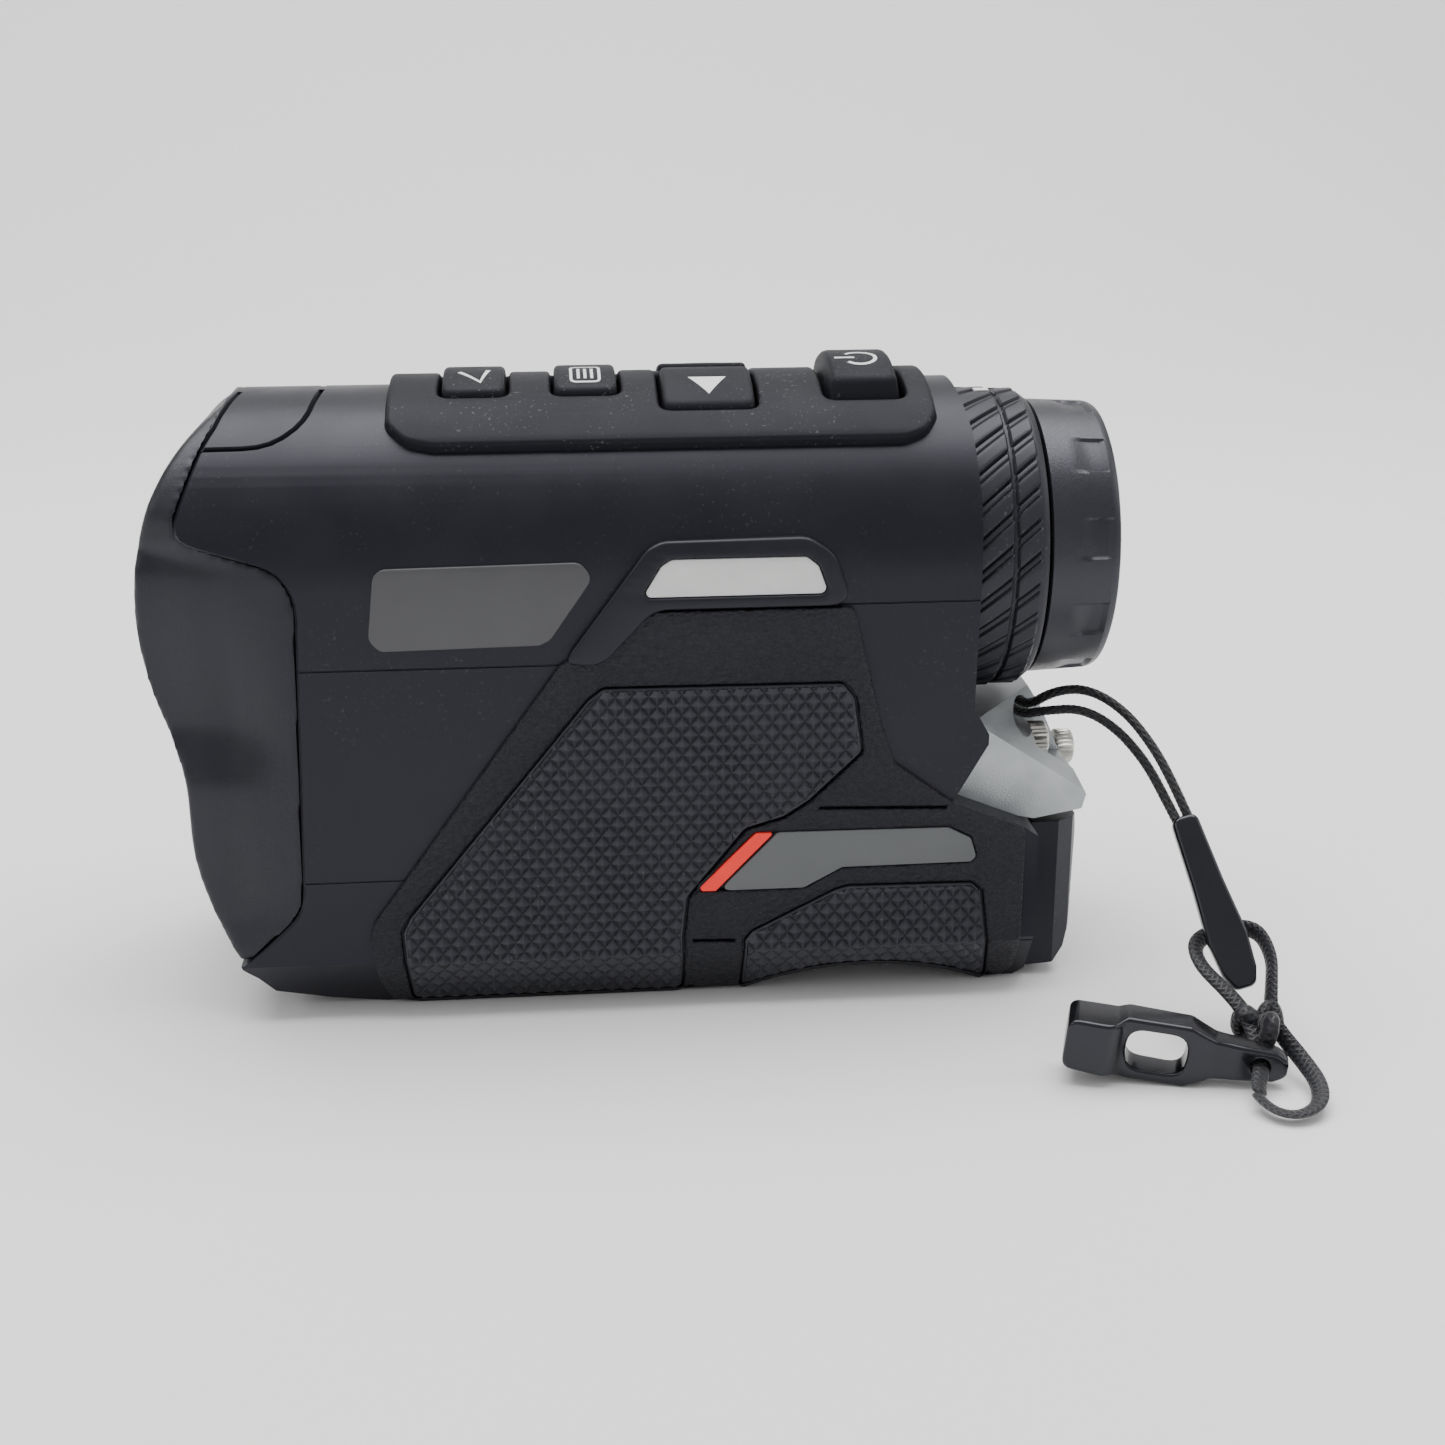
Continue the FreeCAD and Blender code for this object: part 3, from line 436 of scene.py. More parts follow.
def dense(points, step):
    """The outline with no edge longer than step."""
    out = []
    for i, point in enumerate(points):
        start, end = Vector(point), Vector(points[(i + 1) % len(points)])
        pieces = max(1, math.ceil((end - start).length / step))
        out += [tuple(start.lerp(end, k / pieces)) for k in range(pieces)]
    return out


def area_of(points):
    return sum(a[0] * b[1] - b[0] * a[1] for a, b in zip(points, points[1:] + points[:1])) / 2


def offset(points, distance):
    """The outline grown by distance, or shrunk where it is negative."""
    sign = 1 if area_of(points) > 0 else -1
    count = len(points)
    out = []
    for i in range(count):
        here = Vector(points[i])
        first = (here - Vector(points[i - 1])).normalized()
        second = (Vector(points[(i + 1) % count]) - here).normalized()
        normal = Vector((first.y + second.y, -first.x - second.x)) * sign
        if normal.length < 1e-6:
            out.append(tuple(here))
            continue
        normal.normalize()
        lean = max(0.5, normal.dot(Vector((first.y, -first.x)) * sign))
        out.append(tuple(here + normal * (distance / lean)))
    return out


def on_arch(points):
    """The foot of an outline follows the arch in the base."""
    out = []
    for x, z in points:
        reach = ARCH_RADIUS ** 2 - (x - ARCH_MIDDLE) ** 2
        arch = ARCH_HEIGHT - ARCH_RADIUS + math.sqrt(reach) if reach > 0 else -1
        out.append((x, max(z, arch + 0.45)))
    return out


def grid_lines(points, levels):
    """Chords across an outline's box at given heights, so that a curved skin bends there."""
    xs, ys = [p[0] for p in points], [p[1] for p in points]
    return [((min(xs) - 1, level), (max(xs) + 1, level)) for level in levels if min(ys) < level < max(ys)]


SLIVER = 4e-5       # triangles with less area than this are left out
MARGIN = 0.12       # extra lines stop this far from an outline


def inside(point, loop):
    """Whether a point lies within a closed outline."""
    x, y = point
    found = False
    for (ax, ay), (bx, by) in zip(loop, loop[1:] + loop[:1]):
        if (ay > y) != (by > y) and x < (bx - ax) * (y - ay) / (by - ay) + ax:
            found = not found
    return found


def filled(outline, holes=(), lines=()):
    """Triangles of an outline with holes; every extra line becomes an edge."""
    verts, edges = [], []
    for loop in [outline] + list(holes):
        start = len(verts)
        verts += [Vector(point) for point in loop]
        edges += [(start + i, start + (i + 1) % len(loop)) for i in range(len(loop))]
    for first, last in lines:
        start = len(verts)
        verts += [Vector(first), Vector(last)]
        edges.append((start, start + 1))
    points, _, triangles, _, _, _ = delaunay_2d_cdt(verts, edges, [], 0, 1e-5)
    kept = []
    for tri in triangles:
        a, b, c = (points[k] for k in tri)
        middle = (a + b + c) / 3
        if abs((b - a).cross(c - a)) < SLIVER:
            continue
        if inside(middle, outline) and not any(inside(middle, hole) for hole in holes):
            kept.append(tri)
    return points, kept


def clipped(lines, loops):
    """The parts of each line that lie within the first loop and outside the others, clear of all of them."""
    out = []
    for first, last in lines:
        a, b = Vector(first), Vector(last)
        ahead = b - a
        cuts = []
        for loop in loops:
            for c, d in zip(loop, loop[1:] + loop[:1]):
                side = Vector(d) - Vector(c)
                bottom = ahead.cross(side)
                if abs(bottom) < 1e-9:
                    continue
                t = (Vector(c) - a).cross(side) / bottom
                s = (Vector(c) - a).cross(ahead) / bottom
                if 0 <= t <= 1 and 0 <= s < 1:
                    cuts.append(t)
        cuts.sort()
        gap = MARGIN / ahead.length
        for start, end in zip(cuts, cuts[1:]):
            if end - start < 3 * gap:
                continue
            middle = a + ahead * (start + end) / 2
            if inside(middle, loops[0]) and not any(inside(middle, hole) for hole in loops[1:]):
                out.append((tuple(a + ahead * (start + gap)), tuple(a + ahead * (end - gap))))
    return out


def smooth_shade(bm, limit=32):
    for face in bm.faces:
        face.smooth = True
    for edge in bm.edges:
        if len(edge.link_faces) == 2 and edge.calc_face_angle(0) > math.radians(limit):
            edge.smooth = False


def piece(name, bm, body, slot, shade=32, material=None):
    if shade:
        smooth_shade(bm, shade)
    obj = add_mesh(name, bm)
    finish_piece(obj, slot, material)
    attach(obj, body)
    return obj


def close_up(bm):
    """Fill what slivers left open, so that the mesh is a closed solid."""
    for _ in range(3):
        gaps = [e for e in bm.edges if e.is_boundary]
        if not gaps:
            break
        filled_in = bmesh.ops.holes_fill(bm, edges=gaps, sides=0)["faces"]
        bmesh.ops.triangulate(bm, faces=filled_in)
    bmesh.ops.recalc_face_normals(bm, faces=bm.faces)


def slab(name, outline, place, top, bottom, body, slot, holes=(), edge=0.3, lines=(), relief=None,
         taper=0.0, shade=32, rings=3, material=None):
    """A closed plate of an outline with rounded upper edges.

    place turns (u, v, height) into a point in millimetres. relief adds height away from the rim.
    """
    bm = bmesh.new()

    def point(uv, height):
        return bm.verts.new(Vector(place(uv[0], uv[1], height)) * MM)

    def value(level, uv):
        return level(uv[0], uv[1]) if callable(level) else level

    inner_loops = []
    for number, loop in enumerate([outline] + list(holes)):
        inward = -1 if number == 0 else 1
        flip = (area_of(loop) > 0) == (number == 0)
        rows = [[point(uv, value(bottom, uv)) for uv in loop]]
        shifted = loop
        for k in range(rings + 1):
            angle = math.pi / 2 * k / rings
            shifted = offset(loop, inward * (taper * (number == 0) + edge * (1 - math.cos(angle))))
            drop = edge * (1 - math.sin(angle))
            rows.append([point(uv, value(top, uv) - drop) for uv in shifted])
        stitch(bm, rows, not flip)
        inner_loops.append(shifted)
    points, triangles = filled(inner_loops[0], inner_loops[1:], clipped(lines, inner_loops))
    rim = set()
    if relief:
        segments = []
        for loop in inner_loops:
            segments += [(Vector(a), Vector(b)) for a, b in zip(loop, loop[1:] + loop[:1])]
        for index, uv in enumerate(points):
            for a, b in segments:
                along_edge = b - a
                t = max(0.0, min(1.0, (uv - a).dot(along_edge) / max(along_edge.length_squared, 1e-12)))
                if (uv - a - along_edge * t).length < 2e-3:
                    rim.add(index)
                    break
    made = []
    for index, uv in enumerate(points):
        extra = relief(uv[0], uv[1]) if relief and index not in rim else 0.0
        made.append(point(uv, value(top, uv) + extra))
    for tri in triangles:
        bm.faces.new([made[k] for k in tri])
    flat_lines = () if relief else clipped(lines, [outline] + list(holes))
    points, triangles = filled(outline, holes, flat_lines)
    made = [point(uv, value(bottom, uv)) for uv in points]
    for tri in triangles:
        bm.faces.new([made[k] for k in tri][::-1])
    bmesh.ops.remove_doubles(bm, verts=bm.verts, dist=2e-7)
    loose = [v for v in bm.verts if not v.link_faces]
    bmesh.ops.delete(bm, geom=loose, context="VERTS")
    close_up(bm)
    return piece(name, bm, body, slot, shade, material)


# ---------------------------------------------------------------- the skins on both sides

GRIP = [(-37.1, 0.4), (-38.7, 5.2), (-39.5, 12.7), (-38.9, 15.4), (-11.2, 53.4), (2.2, 60.8), (30.2, 60.8),
        (34.4, 43.1), (36.4, 37.4), (44.8, 31.2), (55.9, 26.7), (55.9, 2.4), (54, 0.4)]
PAD_FIELD = [(-5.3, 50.1), (-7.6, 48.3), (-33.9, 16.2), (-35, 13.9), (-34.3, 0.4), (6.1, 0.4), (5.9, 11.4),
             (6.6, 17.7), (14.9, 27.9), (20.4, 29.5), (24.1, 31.9), (31.8, 39.2), (30.6, 47.6), (28.8, 49.9)]
SMALL_PAD = [(14.4, 0.4), (14.4, 10.7), (15.6, 12.2), (27.7, 18.3), (29.8, 18.9), (48.3, 18.7),
             (49.8, 17.2), (52, 0.4)]
NAME_PLATE = [(19.4, 27.6), (44.4, 27.4), (47.8, 25.6), (48.7, 22.6), (47.9, 21.7), (28.9, 21.6),
              (23.3, 18.6), (10.6, 18.6)]
ACCENT = [(16.2, 27.6), (19.2, 27.6), (10.5, 18.6), (8.3, 18.6), (8.0, 19.4)]
LABEL_FIELD = ACCENT[:1] + NAME_PLATE[1:7] + ACCENT[3:]
TRIM = [(-11.2, 53.4), (1, 69.6), (3.3, 70.7), (23.6, 70.9), (27.3, 68.6), (30.2, 60.8), (2.2, 60.8),
        (-5.2, 53.0)]
PLATE = [(3.1, 67.2), (4.6, 68.1), (23.3, 68.1), (25, 66.8), (26.2, 63.5), (25.6, 62.7), (1.3, 62.7),
         (0.8, 63.5)]
BADGE = [(-34.9, 67.5), (-7.9, 67.8), (-6.2, 65.6), (-12.2, 57.0), (-13.7, 56.2), (-35.8, 55.9),
         (-37.2, 57.7), (-36.1, 66.5)]
LEDGE_SLIT = dense([(25.3, 30.75), (43.9, 30.2), (44.0, 30.6), (25.6, 31.15)], 1.6)
BAND_SLIT = dense([(7.1, 10.7), (13.2, 10.5), (13.2, 10.9), (7.1, 11.1)], 1.6)
BENDS = [FOOT_HEIGHT] + [AXIS + step for step in (0, 1.2, 2.4, 3.6, 4.8, 6.0)]
PITCH_X = 2.33      # the lozenges' size along the body, up it, and their height
PITCH_Z = 2.94
PEAK = 0.7


def wall_at(z, rise):
    """Half the body's width at a height, out to a skin that is rise thick."""
    reach = SIDE + rise
    if z < FOOT_HEIGHT:
        return FOOT_SIDE + rise + (SIDE - FOOT_SIDE) * max(z, 0) / FOOT_HEIGHT
    if z > AXIS:
        return math.sqrt(max(reach ** 2 - (z - AXIS) ** 2, 0.01))
    return reach


def pyramids(u, v):
    """Height of a field of lozenge pyramids."""
    a = u / PITCH_X + v / PITCH_Z
    b = u / PITCH_X - v / PITCH_Z
    da, db = abs((a % 1) - 0.5), abs((b % 1) - 0.5)
    return PEAK * (1 - 2 * max(da, db))


def lozenge_lines(points):
    """The edges and creases of the pyramids over an outline's box."""
    xs, zs = [p[0] for p in points], [p[1] for p in points]
    left, right, floor, top = min(xs) - 1, max(xs) + 1, min(zs) - 1, max(zs) + 1
    lines = []
    first = math.floor((left / PITCH_X) - (top / PITCH_Z)) - 1
    last = math.ceil((right / PITCH_X) + (top / PITCH_Z)) + 1
    for k in range(first, last + 1):
        for sign in (1, -1):
            start = (left, sign * (k - left / PITCH_X) * PITCH_Z)
            end = (right, sign * (k - right / PITCH_X) * PITCH_Z)
            if max(start[1], end[1]) > floor and min(start[1], end[1]) < top:
                lines.append((start, end))
    half_x, half_z = PITCH_X / 2, PITCH_Z / 2
    for k in range(math.floor(left / half_x), math.ceil(right / half_x) + 1):
        lines.append(((k * half_x, floor), (k * half_x, top)))
    for k in range(math.floor(floor / half_z), math.ceil(top / half_z) + 1):
        lines.append(((left, k * half_z), (right, k * half_z)))
    return lines


for side, sign in (("left", -1), ("right", 1)):

    def on_side(u, v, height, sign=sign):
        return (u, sign * wall_at(v, height), v)

    def skin(part, points, radius, top, slot, gap=0.0, holes=(), edge=0.3, relief=None, lines=None,
             paint=None):
        shape = on_arch(dense(rounded(points, radius), 1.6))
        if gap:
            shape = offset(shape, -gap)
        bends = grid_lines(shape, BENDS) if lines is None else lines
        made = slab("%s_%s_skin" % (part, side), shape, on_side, top, -0.3, "housing", slot, holes=holes,
                    edge=edge, lines=bends, relief=relief, shade=0 if relief else 32, material=paint)
        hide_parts("%s_%s" % (part, side))

    large = on_arch(dense(rounded(PAD_FIELD, 1.7), 1.6))
    small = on_arch(dense(rounded(SMALL_PAD, 1.3), 1.6))
    label_hole = dense(rounded(LABEL_FIELD, 1.0), 1.6)
    skin("large_pad", PAD_FIELD, 1.7, 0.85, "diamond_rubber", gap=0.28, relief=pyramids,
         lines=lozenge_lines(PAD_FIELD) + grid_lines(PAD_FIELD, [FOOT_HEIGHT]), edge=0.35)
    skin("small_pad", SMALL_PAD, 1.3, 0.85, "diamond_rubber", gap=0.28, relief=pyramids,
         lines=lozenge_lines(SMALL_PAD) + grid_lines(SMALL_PAD, [FOOT_HEIGHT]), edge=0.35)
    skin("name_plate", NAME_PLATE, 1.0, 1.1, "label_grey", gap=0.12, edge=0.15)
    skin("accent", ACCENT, 0.5, 1.1, "label_red", gap=0.12, edge=0.15)
    skin("grip", GRIP, 1.8, 1.0, "grip_plastic", gap=0.1, edge=0.3,
         holes=(large, small, label_hole, LEDGE_SLIT, BAND_SLIT))
    plate_hole = dense(rounded(PLATE, 1.3), 1.6)
    skin("trim", TRIM, 4.5, 1.25, "trim_plastic", gap=0.18, holes=(plate_hole,), edge=0.45)
    skin("plate", PLATE, 1.3, 0.95, "label_silver", gap=0.1, edge=0.12)
    skin("badge", BADGE, 2.0, 0.45, "label_grey", edge=0.2, paint="badge_grey")

# ---------------------------------------------------------------- keypad on the crown

PAD_RADIUS = 25.7
KEY_CROWN = 40.0


def on_crown(u, v, height):
    """u along the body, v across it, height as a radius about the upper axis."""
    angle = v / PAD_RADIUS
    return (u, height * math.sin(angle), AXIS + height * math.cos(angle))


def unrolled(y):
    """How far round the crown a point y to the side of the middle lies."""
    return PAD_RADIUS * math.asin(y / PAD_RADIUS)


def key_outline(node, grow, radius, across=unrolled):
    low, high = low_high(node)
    near, far = across(low.y), across(high.y)
    corners = [(low.x - grow, near - grow), (high.x + grow, near - grow),
               (high.x + grow, far + grow), (low.x - grow, far + grow)]
    return dense(rounded(corners, radius), 1.4)


def on_key(u, v, height):
    """Key tops are rounder than the crown they stand on, so their near edges stay low."""
    return (u, v, AXIS + height - v * v / KEY_CROWN)


PAD_SHAPE = [(-34.3, -15.2), (-31.6, -18.6), (-27.6, -19.6), (38.2, -19.6), (41.6, -18.2), (43.3, -14.6),
             (43.3, 14.6), (41.6, 18.2), (38.2, 19.6), (-27.6, 19.6), (-31.6, 18.6), (-34.3, 15.2)]
KEYS = {  # each key's top, as a radius, and how round its upper edge is
    "key_select": (26.6, 0.75), "key_menu": (26.6, 0.75), "key_up": (26.6, 0.7), "key_down": (26.6, 0.7),
    "key_fire": (28.2, 0.95),
}
crown_lines = [((-40, k * 1.6), (50, k * 1.6)) for k in range(-13, 14)]
pad_holes = [key_outline(name, 0.2, 1.9) for name in KEYS]
pad = slab("keypad_sheet", dense(rounded(PAD_SHAPE, 4.0), 1.4), on_crown, PAD_RADIUS, 24.0, "housing",
           "key_rubber", holes=pad_holes, edge=0.6, lines=crown_lines, taper=0.35)
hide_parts("key_pad")
for name, (radius, edge) in KEYS.items():
    outline = key_outline(name, 0.0, 1.8, across=float)
    taper = 1.0 if name == "key_fire" else 0.35
    cap = slab(name + "_cap", outline, on_key, radius, 22.0, name.removeprefix("key_"), "key_rubber",
               edge=edge, lines=crown_lines, taper=taper)
    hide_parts(name)


def print_mark(name, key, strokes=(), shapes=()):
    """White print on a key, about its middle: open strokes with a width, and filled shapes."""
    low, high = low_high(key)
    middle = ((low.x + high.x) / 2, (low.y + high.y) / 2)
    radius = KEYS[key][0]
    outlines = [list(shape) for shape in shapes]
    for points, width in strokes:
        left, right = [], []
        for i, point in enumerate(points):
            here = Vector(point)
            ahead = Vector(points[min(i + 1, len(points) - 1)]) - Vector(points[max(i - 1, 0)])
            normal = Vector((-ahead.y, ahead.x)).normalized() * width / 2
            left.append(tuple(here + normal))
            right.append(tuple(here - normal))
        outlines.append(left + right[::-1])
    bm = bmesh.new()
    for shape in outlines:
        moved = dense([(x + middle[0], y + middle[1]) for x, y in shape], 0.8)
        points, triangles = filled(moved)
        layers = []
        for height in (radius - 0.05, radius + 0.035):
            layers.append([bm.verts.new(Vector(on_key(p[0], p[1], height)) * MM) for p in points])
        for tri in triangles:
            bm.faces.new([layers[1][k] for k in tri])
            bm.faces.new([layers[0][k] for k in tri][::-1])
        order = [min(range(len(points)), key=lambda k: (points[k] - Vector(p)).length) for p in moved]
        order = [k for k, after in zip(order, order[1:] + order[:1]) if k != after]
        for a, b in zip(order, order[1:] + order[:1]):
            bm.faces.new([layers[0][a], layers[0][b], layers[1][b], layers[1][a]])
    bmesh.ops.recalc_face_normals(bm, faces=bm.faces)
    return piece(name, bm, key.removeprefix("key_"), "label_silver", 0, "white_print")


def arc(radius, start, end, steps):
    angles = [math.radians(start + (end - start) * k / steps) for k in range(steps + 1)]
    return [(radius * math.cos(angle), radius * math.sin(angle)) for angle in angles]


TOWARDS_NEAR = -3.9     # the marks stand on the half of a key that is nearer the camera
check = [(-2.0, 1.2 + TOWARDS_NEAR), (1.0, -2.5 + TOWARDS_NEAR), (2.1, 2.0 + TOWARDS_NEAR)]
print_mark("mark_check", "key_select", strokes=[(check, 0.65)])
bars = [([(x, -1.9 + TOWARDS_NEAR), (x, 1.9 + TOWARDS_NEAR)], 0.42) for x in (-0.95, 0.0, 0.95)]
menu_corners = [(-2.0, -2.9), (2.0, -2.9), (2.0, 2.9), (-2.0, 2.9)]
menu_box = [(x, y + TOWARDS_NEAR) for x, y in rounded(menu_corners, 0.8, 4)]
box_halves = [(menu_box[:9], 0.4), (menu_box[8:] + menu_box[:1], 0.4)]
print_mark("mark_menu", "key_menu", strokes=bars + box_halves)
print_mark("mark_near", "key_up", shapes=[[(-2.6, 0.6), (0.1, -3.6), (2.8, 0.6)]])
print_mark("mark_far", "key_down", shapes=[[(-2.3, -3.6), (2.3, -3.6), (0.0, 0.4)]])
power = [(x, y + TOWARDS_NEAR) for x, y in arc(2.35, -138, 138, 22)]
stem = [(-3.6, TOWARDS_NEAR), (-0.7, TOWARDS_NEAR)]
print_mark("mark_power", "key_fire", strokes=[(power, 0.55), (stem, 0.5)])

# ---------------------------------------------------------------- turned parts about the upper axis


def turned(name, profile, body, slot, wave=None, columns=180, slant=None, shade=32):
    """A closed ring: profile is (x, radius) round its section. wave(x, r, angle) is taken off the radius."""
    bm = bmesh.new()
    rows = []
    for x, radius in profile:
        row = []
        for k in range(columns):
            angle = 2 * math.pi * k / columns
            r = radius - (wave(x, radius, angle) if wave else 0)
            row.append(bm.verts.new(about(x, r, angle + (slant(x) if slant else 0))))
        rows.append(row)
    stitch(bm, rows + rows[:1])
    bmesh.ops.recalc_face_normals(bm, faces=bm.faces)
    return piece(name, bm, body, slot, shade)


RIBS = 30
PER_RIB = 14
SLANT = -0.85
RIB_DEPTHS = (0.6, 0.3, 0.2, 0.2, 0.38, 0.06, 0, 0, 0, 0, 0, 0, 0, 0.08)


def rib_row(name, start, end, radius, phase):
    """Slanted blocks with grooves between them; the grid leans with the ribs."""

    def notch(x, r, angle):
        column = round(angle / (2 * math.pi) * RIBS * PER_RIB) % PER_RIB
        return 0.0 if r < radius - 0.55 else RIB_DEPTHS[column]

    profile = [(start, radius - 0.7), (start, radius - 0.35), (start + 0.3, radius)]
    steps = max(2, int((end - start) / 0.8))
    profile += [(start + 0.3 + (end - start - 0.6) * k / steps, radius) for k in range(1, steps)]
    profile += [(end - 0.3, radius), (end, radius - 0.35), (end, radius - 0.7)]
    return turned(name, profile, "ring", "ring_rubber", wave=notch, columns=RIBS * PER_RIB,
                  slant=lambda x: phase + SLANT * (x - start) / radius, shade=28)


ring_low, ring_high = low_high("dioptre_ring")
X0, X1 = ring_low.x, ring_high.x
rib_row("ring_front_row", X0, X0 + 7.6, 22.4, 0.0)
rib_row("ring_rear_row", X0 + 8.1, X0 + 11.7, 22.2, 0.1)
core = turned("ring_core", [(X0 + 0.1, 18.7), (X0 + 0.1, 21.6), (X0 + 7.7, 21.6), (X0 + 11.5, 21.65),
                            (X0 + 12.3, 21.5), (X1, 21.1), (X1, 18.7)], "ring", "ring_rubber")
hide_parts("dioptre_ring")
INDEX_X = (50.9, 53.0)
INDEX_ANGLE = 0.075
INDEX_RADII = (22.2, 22.5)
bm = bmesh.new()
grid = {}
for i in range(7):
    for j in range(5):
        for level, r in enumerate(INDEX_RADII):
            x = INDEX_X[0] + (INDEX_X[1] - INDEX_X[0]) * i / 6
            grid[i, j, level] = bm.verts.new(about(x, r, INDEX_ANGLE * j / 4))
for i in range(6):
    for j in range(4):
        for level in (0, 1):
            bm.faces.new([grid[i, j, level], grid[i + 1, j, level], grid[i + 1, j + 1, level],
                          grid[i, j + 1, level]])
border = [(i, 0) for i in range(7)] + [(6, j) for j in range(1, 5)]
border += [(i, 4) for i in range(5, -1, -1)] + [(0, j) for j in range(3, 0, -1)]
stitch(bm, [[grid[i, j, 0] for i, j in border], [grid[i, j, 1] for i, j in border]])
bmesh.ops.recalc_face_normals(bm, faces=bm.faces)
piece("ring_index", bm, "ring", "label_silver", 0, "white_print")

cup_low, cup_high = low_high("eyecup")
C0, C1 = cup_low.x, cup_high.x
NOTCHES = 10


def finger_notch(x, r, angle):
    """Ten shallow finger notches near the rear rim."""
    if r < 19 or not C0 + 3.9 < x < C1 - 1.3:
        return 0.0
    turn = (angle / (2 * math.pi) * NOTCHES + 0.33) % 1
    if abs(turn - 0.5) > 0.225:
        return 0.0
    return 0.42 * min(1.0, (x - C0 - 3.9) / 2.4)


outer = [(C0, 20.2), (C0 + 0.25, 20.55)]
outer += [(C0 + 0.25 + (C1 - C0 - 1.55) * k / 12, 20.55 - 0.42 * k / 12) for k in range(1, 13)]
outer += [(C1 - 1.28, 20.1), (C1 - 0.7, 20.0), (C1 - 0.25, 19.75), (C1, 19.2), (C1, 17.4),
          (C1 - 0.3, 16.6), (C1 - 1.2, 15.2), (C1 - 2.2, 13.9), (C1 - 2.4, 13.7), (C1 - 2.4, 16.6),
          (C0 + 0.3, 16.6), (C0, 16.9)]
cup = turned("eyecup_rubber_cup", outer, "cup", "eyecup_rubber", wave=finger_notch, columns=360, shade=30)
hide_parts("eyecup")

# ---------------------------------------------------------------- lenses


def lens(name, node, height, radius, bulge):
    """A biconvex glass."""
    low, high = low_high(node)
    face, back = low.x + bulge, high.x - bulge * 0.4
    profile = [(face - bulge * (1 - (k / 8) ** 2), (radius - 0.05) * k / 8) for k in range(9)]
    profile += [(back + bulge * 0.4 * (1 - (k / 8) ** 2), (radius - 0.05) * k / 8) for k in range(8, -1, -1)]
    columns = 72
    bm = bmesh.new()
    stitch(bm, [[bm.verts.new(about(x, max(r, 0.001), -2 * math.pi * k / columns, z=height))
                 for k in range(columns)] for x, r in profile])
    bmesh.ops.remove_doubles(bm, verts=bm.verts, dist=5e-6)
    bmesh.ops.holes_fill(bm, edges=[e for e in bm.edges if e.is_boundary])
    bmesh.ops.recalc_face_normals(bm, faces=bm.faces)
    made = piece(name, bm, "cell" if node == "ocular_lens" else "housing", "lens_glass", 40)
    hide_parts(node)


lens("objective_glass", "objective_lens", AXIS, 17.0, 1.3)
lens("receiving_glass", "receiving_lens", 25.5, 12.5, 1.1)
lens("ocular_glass", "ocular_lens", AXIS, 11.4, 0.9)

# ---------------------------------------------------------------- knurled cap screws


TEETH = 26
PER_TOOTH = 4
HEAD_LENGTH = 2.9
HEAD_RADIUS = 2.75


def cap_screw(name, node, y, z):
    """A knurled head with a hexagon socket on a plain shank."""
    low, high = low_high(node)
    head, end = high.x - HEAD_LENGTH, high.x
    radius = HEAD_RADIUS
    columns = TEETH * PER_TOOTH
    bm = bmesh.new()

    def ring(x, r, knurl=0.0, hexagon=0.0):
        row = []
        for k in range(columns):
            angle = 2 * math.pi * k / columns
            here = r - knurl * (0.5 - 0.5 * math.cos(angle * TEETH))
            if hexagon:
                here = hexagon / math.cos((angle + math.pi / 6) % (math.pi / 3) - math.pi / 6)
            row.append(bm.verts.new(about(x, here, -angle, y, z)))
        return row

    rows = [ring(low.x, 0.3), ring(low.x, 1.5), ring(head, 1.5), ring(head, radius - 0.25),
            ring(head + 0.2, radius, 0.22), ring(end - 0.45, radius, 0.22), ring(end - 0.15, radius - 0.3),
            ring(end, radius - 0.6), ring(end, 1.55), ring(end - 0.12, 0, hexagon=1.27),
            ring(end - 1.5, 0, hexagon=1.25), ring(end - 1.7, 0.25)]
    stitch(bm, rows)
    bm.faces.new(rows[0])
    bm.faces.new(rows[-1])
    bmesh.ops.recalc_face_normals(bm, faces=bm.faces)
    made = piece(name, bm, "housing", "screw_steel", 30)
    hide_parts(node)


cap_screw("screw_near_head", "screw_near", -9.6, 35.0)
cap_screw("screw_far_head", "screw_far", 1.5, 29.8)

# ---------------------------------------------------------------- lanyard

UPPER_ROUTE = [(59.1, -1.5, 39.1), (59.3, -7.4, 39.3), (62.9, -10.0, 42.7), (67.6, -11.9, 43.5),
               (72.0, -16.2, 41.4), (75.2, -21.2, 37.3), (77.3, -25.4, 32.8), (78.9, -28.4, 28.6)]
LOWER_ROUTE = [(57.5, -1.5, 38.9), (57.6, -8.6, 38.5), (61.6, -11.9, 40.3), (66.6, -13.2, 40.8),
               (71.1, -16.0, 38.5), (74.4, -20.4, 34.7), (76.1, -24.6, 31.0), (77.4, -28.4, 27.8)]
STRAP_ROUTE = [(80.0, -61.6, 1.8), (80.5, -59.4, 2.4), (81.6, -57.4, 3.2), (82.0, -55.2, 3.5),
               (82.5, -52.8, 4.4), (82.6, -50.4, 6.0), (81.7, -47.9, 7.9), (80.0, -45.2, 9.6),
               (77.5, -41.6, 11.6), (77.9, -36.9, 13.0), (82.4, -34.7, 13.8), (87.0, -36.9, 15.0),
               (87.8, -41.8, 12.8), (86.6, -45.6, 10.2), (85.9, -47.6, 8.4), (85.6, -49.6, 6.6),
               (86.7, -51.6, 4.9), (88.3, -54.4, 3.1), (88.9, -60.0, 2.2), (87.2, -64.6, 1.6),
               (83.4, -66.3, 1.2), (80.4, -64.4, 1.4), (79.8, -61.6, 1.8)]


